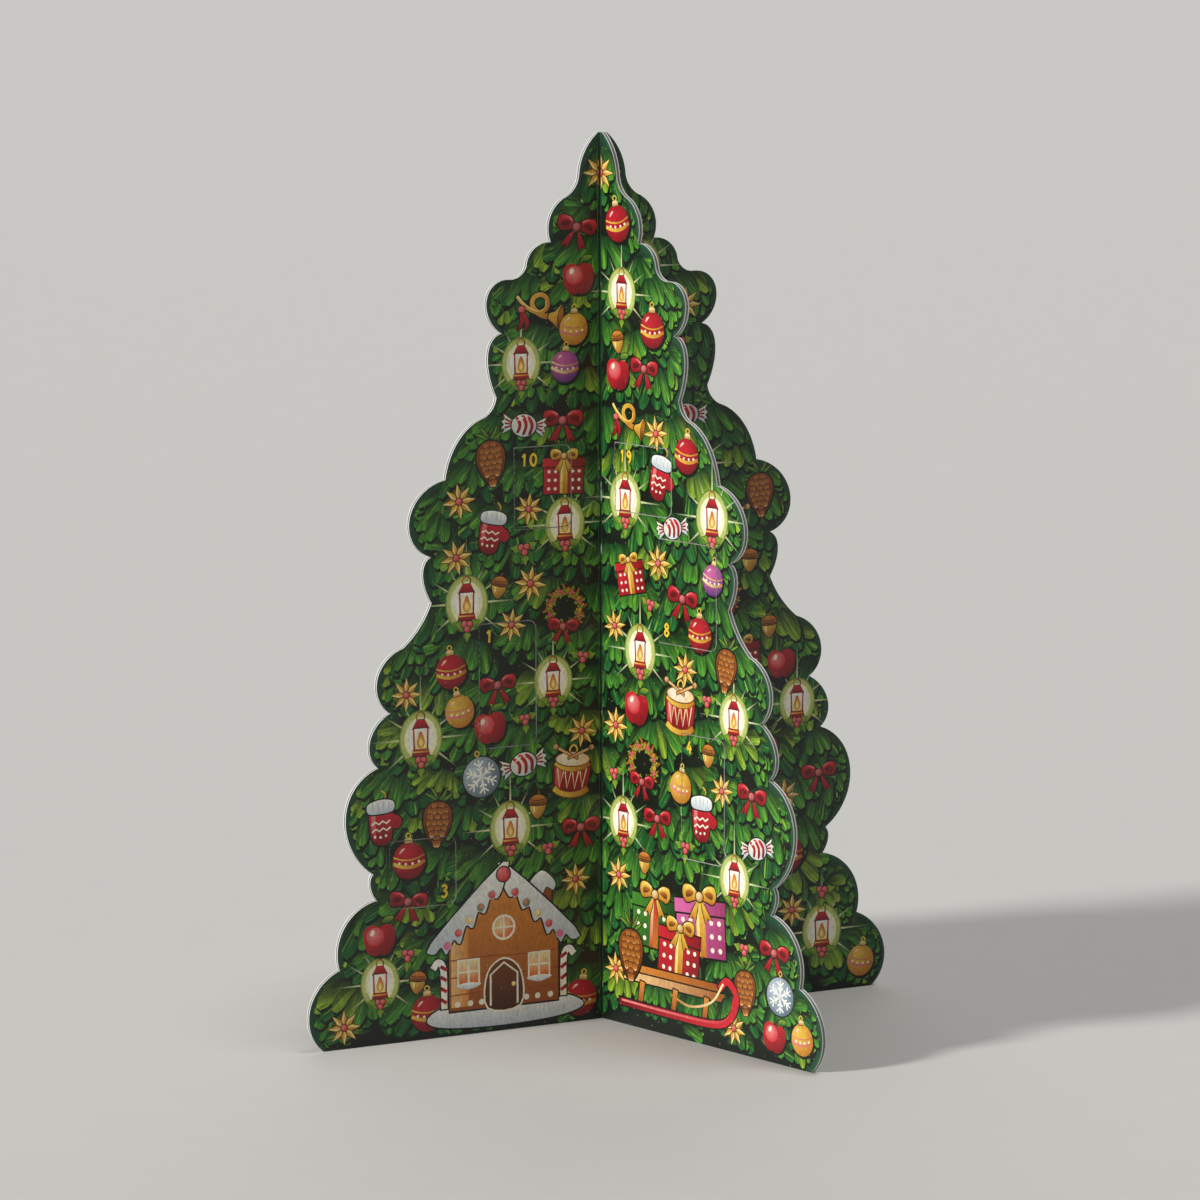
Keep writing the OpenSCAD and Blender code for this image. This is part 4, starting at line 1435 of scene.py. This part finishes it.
def paintPictures(doors):
    b = Brush()
    b.add(pageSet["paper"], "paper")
    motifs, grounds, drift = pictureSet["motifs"], pictureSet["grounds"], pictureSet["drift"]
    for door in doors:
        number = door["number"]
        x, z = (door["x0"] + door["x1"]) / 2, (door["z0"] + door["z1"]) / 2
        wide = door["x1"] - door["x0"] + pictureSet["past"]
        tall = door["z1"] - door["z0"] + pictureSet["past"]
        inkPair = grounds[number % len(grounds)]
        glow = (x + max(wide, tall) * pictureSet["glow"], z)
        for share in pictureSet["rings"]:
            panel = np.array(plank(wide / 2, -tall / 2, wide / 2, tall / 2)) * share + (x, z)
            b.add(divided(panel, pictureSet["ringStep"]), *inkPair, "round", (x, z), glow)
        rng = random.Random(number)
        b.dots([(x + rng.uniform(-drift, drift) * wide, z + rng.uniform(-drift, drift) * tall)
                for _ in range(pictureSet["flakes"])], pictureSet["flake"], "white")
        motif, span = motifs[number % len(motifs)], pictureSet["span"]
        if number == pictureSet["lastDay"]:
            motif, span = gingerHouse, pictureSet["grandSpan"]
        with b.at(x, z, min(wide, tall) / span):
            motif(b)
    return b


perforationSet = {
    "score": {"pitch": 2.2, "length": 1.5, "radius": 0.11},  # dashes of the score that a door turns on
    "nick": {"pitch": 6.5, "length": 0.45, "radius": 0.085},  # torn bridges along the free edges
    "spread": (0.8, 1.15), "sides": 8, "seed": 24, "scoreEnds": 0.4, "nickStart": 4.0,
}


def perforationNodes():
    tree, given = newGroup(
        "perforation", "GeometryNodeTree",
        [("Geometry", "Geometry"), ("Pitch", "Float"), ("Length", "Float"), ("Radius", "Float"),
         ("Seed", "Int"), ("Board", "Material")],
        [("Geometry", "Geometry")])
    curve = addNode(tree, "GeometryNodeMeshToCurve", {"Mesh": given["Geometry"]})
    pitch = {"Curve": curve.outputs["Curve"], "Length": given["Pitch"]}
    spaced = addNode(tree, "GeometryNodeResampleCurve", pitch, mode="LENGTH")
    rod = {"Vertices": perforationSet["sides"], "Radius": given["Radius"], "Depth": given["Length"]}
    dash = addNode(tree, "GeometryNodeMeshCylinder", rod)
    tangent = addNode(tree, "GeometryNodeInputTangent").outputs["Tangent"]
    aim = addNode(tree, "FunctionNodeAlignRotationToVector", {"Vector": tangent}, axis="Z")
    low, high = perforationSet["spread"]
    # this node keeps its sockets for plain numbers at 2 and 3, and their result at 1
    sizes = {2: low, 3: high, "Seed": given["Seed"]}
    vary = addNode(tree, "FunctionNodeRandomValue", sizes, data_type="FLOAT")
    row = {"Points": spaced.outputs["Curve"], "Instance": dash.outputs["Mesh"],
           "Rotation": aim.outputs["Rotation"], "Scale": vary.outputs[1]}
    dashes = addNode(tree, "GeometryNodeInstanceOnPoints", row)
    solid = addNode(tree, "GeometryNodeRealizeInstances", {"Geometry": dashes.outputs["Instances"]})
    board = {"Geometry": solid.outputs["Geometry"], "Material": given["Board"]}
    paint = addNode(tree, "GeometryNodeSetMaterial", board)
    addNode(tree, "NodeGroupOutput", {"Geometry": paint.outputs["Geometry"]})
    return tree


perforation = perforationNodes()


def dashedLine(name, ends, sizes, seed, board):
    # a plain mesh of dashes between two points
    mesh = bpy.data.meshes.new(name)
    mesh.from_pydata(ends.tolist(), [(0, 1)], [])
    carrier = linkObject(name, mesh)
    modifier = carrier.modifiers.new("perforation", "NODES")
    modifier.node_group = perforation
    values = {key.capitalize(): size * mm for key, size in sizes.items()}
    values.update(Seed=seed, Board=board)
    for item in perforation.interface.items_tree:
        if item.in_out == "INPUT" and item.name in values:
            modifier[item.identifier] = values[item.name]
    graph = bpy.context.evaluated_depsgraph_get()
    plain = bpy.data.meshes.new_from_object(carrier.evaluated_get(graph))
    bpy.data.objects.remove(carrier)
    return plain


def doorPerforation(door, place, face):
    score, nick = perforationSet["score"], perforationSet["nick"]
    x0, x1, low, high = (door[key] for key in ("x0", "x1", "z0", "z1"))
    shy = score["length"] / 2 + perforationSet["scoreEnds"]
    start, corner, gap = x0 + perforationSet["nickStart"], doorSet["cornerRadius"], doorSet["cut"] / 2
    hinge = [(x0, low + shy), (x0, high - shy)]
    free = [
        [(start, low - gap), (x1 - corner, low - gap)],
        [(x1 + gap, low + corner), (x1 + gap, high - corner)],
        [(x1 - corner, high + gap), (start, high + gap)],
    ]
    used = (boards["creaseInk"], boards["cardEdge"])
    rows = [(hinge, face, score, 0)] + [(line, face - 2 * nick["radius"], nick, 1) for line in free]
    name = f"{door['name']}_perforation"
    joined = bmesh.new()
    for line, depth, sizes, slot in rows:
        ends = toWorld(place, line, depth)
        plain = dashedLine(name, ends, sizes, perforationSet["seed"] + door["number"], used[slot])
        first = len(joined.faces)
        joined.from_mesh(plain)
        joined.faces.ensure_lookup_table()
        for side in joined.faces[first:]:
            side.material_index = slot
        bpy.data.meshes.remove(plain)
    mesh = bpy.data.meshes.new(name)
    joined.to_mesh(mesh)
    joined.free()
    for board in used:
        mesh.materials.append(board)
    return linkObject(name, mesh)


def dress(piece, body, node=None):
    if node:
        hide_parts(node)
    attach(piece, body)
    return piece


# sheets and doors
sheetLift = 0.01  # keeps the back of a printed sheet off its picture sheet
printed = [boards[name] for name in ("printGloss", "cardEdge", "greyBack")]
pictured = [boards[name] for name in ("pictureInk", "shadedInnerEdge", "greyBack")]
trisTotal = 0
for page in pages:
    brush = paintPage(page)
    for half in halves:
        place = finPlace(page, half)
        pageNode, pictureNode = f"{page}_page_{half}", f"{page}_picture_{half}"
        depth, inner = onPage(pageNode, place)[2], onPage(pictureNode, place)[2]
        face, back = depth.max(), depth.min() + sheetLift
        doors, outline = doorsOn(page, half), halfOutline[half]
        parts = paintedSheet(outline, brush, doors)
        sheet = sheetMesh(f"{pageNode}_sheet", place, parts[0], face, back, printed, pageIslands)
        made = [dress(sheet, place["fin"], pageNode)]
        for door, part in zip(doors, parts[1:]):
            name = door["name"]
            flap = sheetMesh(f"{name}_flap", place, part, face, door["back"], printed, doorIslands)
            made.append(dress(flap, name, name))
            made.append(dress(doorPerforation(door, place, face), name))
        part = paintedSheet(outline, paintPictures(doors), [])[0]
        backing = sheetMesh(f"{pictureNode}_sheet", place, part, inner.max(), inner.min(), pictured,
                            pageIslands)
        made.append(dress(backing, place["fin"], pictureNode))
        counts = [len(m.data.polygons) for m in made]
        trisTotal += sum(counts)
        print(page, half, "shapes", len(brush.loops), "triangles", counts)
print("sheets made, triangles", trisTotal)

coats = {f"fin_glue_{k + 1}": "glueFilm" for k in range(len(fins))}
coats.update({f"{page}_crease": "creaseInk" for page in pages})
for node, name in coats.items():
    slots = frame["nodes"][node].data.materials
    slots.clear()
    slots.append(boards[name])

# floor, light and camera
stageSet = {"floor": 40.0, "lampsAway": 3.0, "sky": (0.95, 0.97, 1.0, 1.0), "skyStrength": 0.13}
floorMesh = bpy.data.meshes.new("studioFloor")
s = stageSet["floor"]
floorMesh.from_pydata([(-s, -s, 0), (s, -s, 0), (s, s, 0), (-s, s, 0)], [], [(0, 1, 2, 3)])
floorMesh.materials.append(boards["paleFloor"])
linkObject("studioFloor", floorMesh)

lampSet = [
    {"name": "keySun", "from": (-0.80, -0.66, 0.50), "strength": 3.0, "angle": 9.0},
    {"name": "topSun", "from": (0.25, 0.05, 1.00), "strength": 1.1, "angle": 25.0},
    {"name": "backSun", "from": (-0.20, 0.95, 0.40), "strength": 0.8, "angle": 60.0},
]
for lamp in lampSet:
    light = bpy.data.lights.new(lamp["name"], "SUN")
    light.energy = lamp["strength"]
    light.angle = math.radians(lamp["angle"])
    holder = linkObject(lamp["name"], light)
    holder.location = Vector(lamp["from"]) * stageSet["lampsAway"]
    holder.rotation_euler = (-Vector(lamp["from"])).to_track_quat("-Z", "Y").to_euler()

world = bpy.data.worlds.new("studioWorld")
world.use_nodes = True
sky = world.node_tree.nodes["Background"]
sky.inputs["Color"].default_value = stageSet["sky"]
sky.inputs["Strength"].default_value = stageSet["skyStrength"]
bpy.context.scene.world = world
bpy.context.scene.view_settings.view_transform = "Standard"

cameraSet = {
    "turn": 11.0, "away": 1.9137, "height": 0.4443, "pitch": 8.52, "roll": 0.18, "lens": 157.2,
    "sensor": 36.0, "clip": (0.05, 30.0),
}
camera = bpy.data.cameras.new("photoCamera")
camera.sensor_width = cameraSet["sensor"]
camera.lens = cameraSet["lens"]
camera.clip_start, camera.clip_end = cameraSet["clip"]
viewer = linkObject("photoCamera", camera)
turn, away = math.radians(cameraSet["turn"]), cameraSet["away"]
viewer.location = (away * math.sin(turn), -away * math.cos(turn), cameraSet["height"])
viewer.rotation_mode = "XYZ"
viewer.rotation_euler = (math.radians(90 - cameraSet["pitch"]), math.radians(cameraSet["roll"]), turn)
bpy.context.scene.camera = viewer
print("stage and camera set")
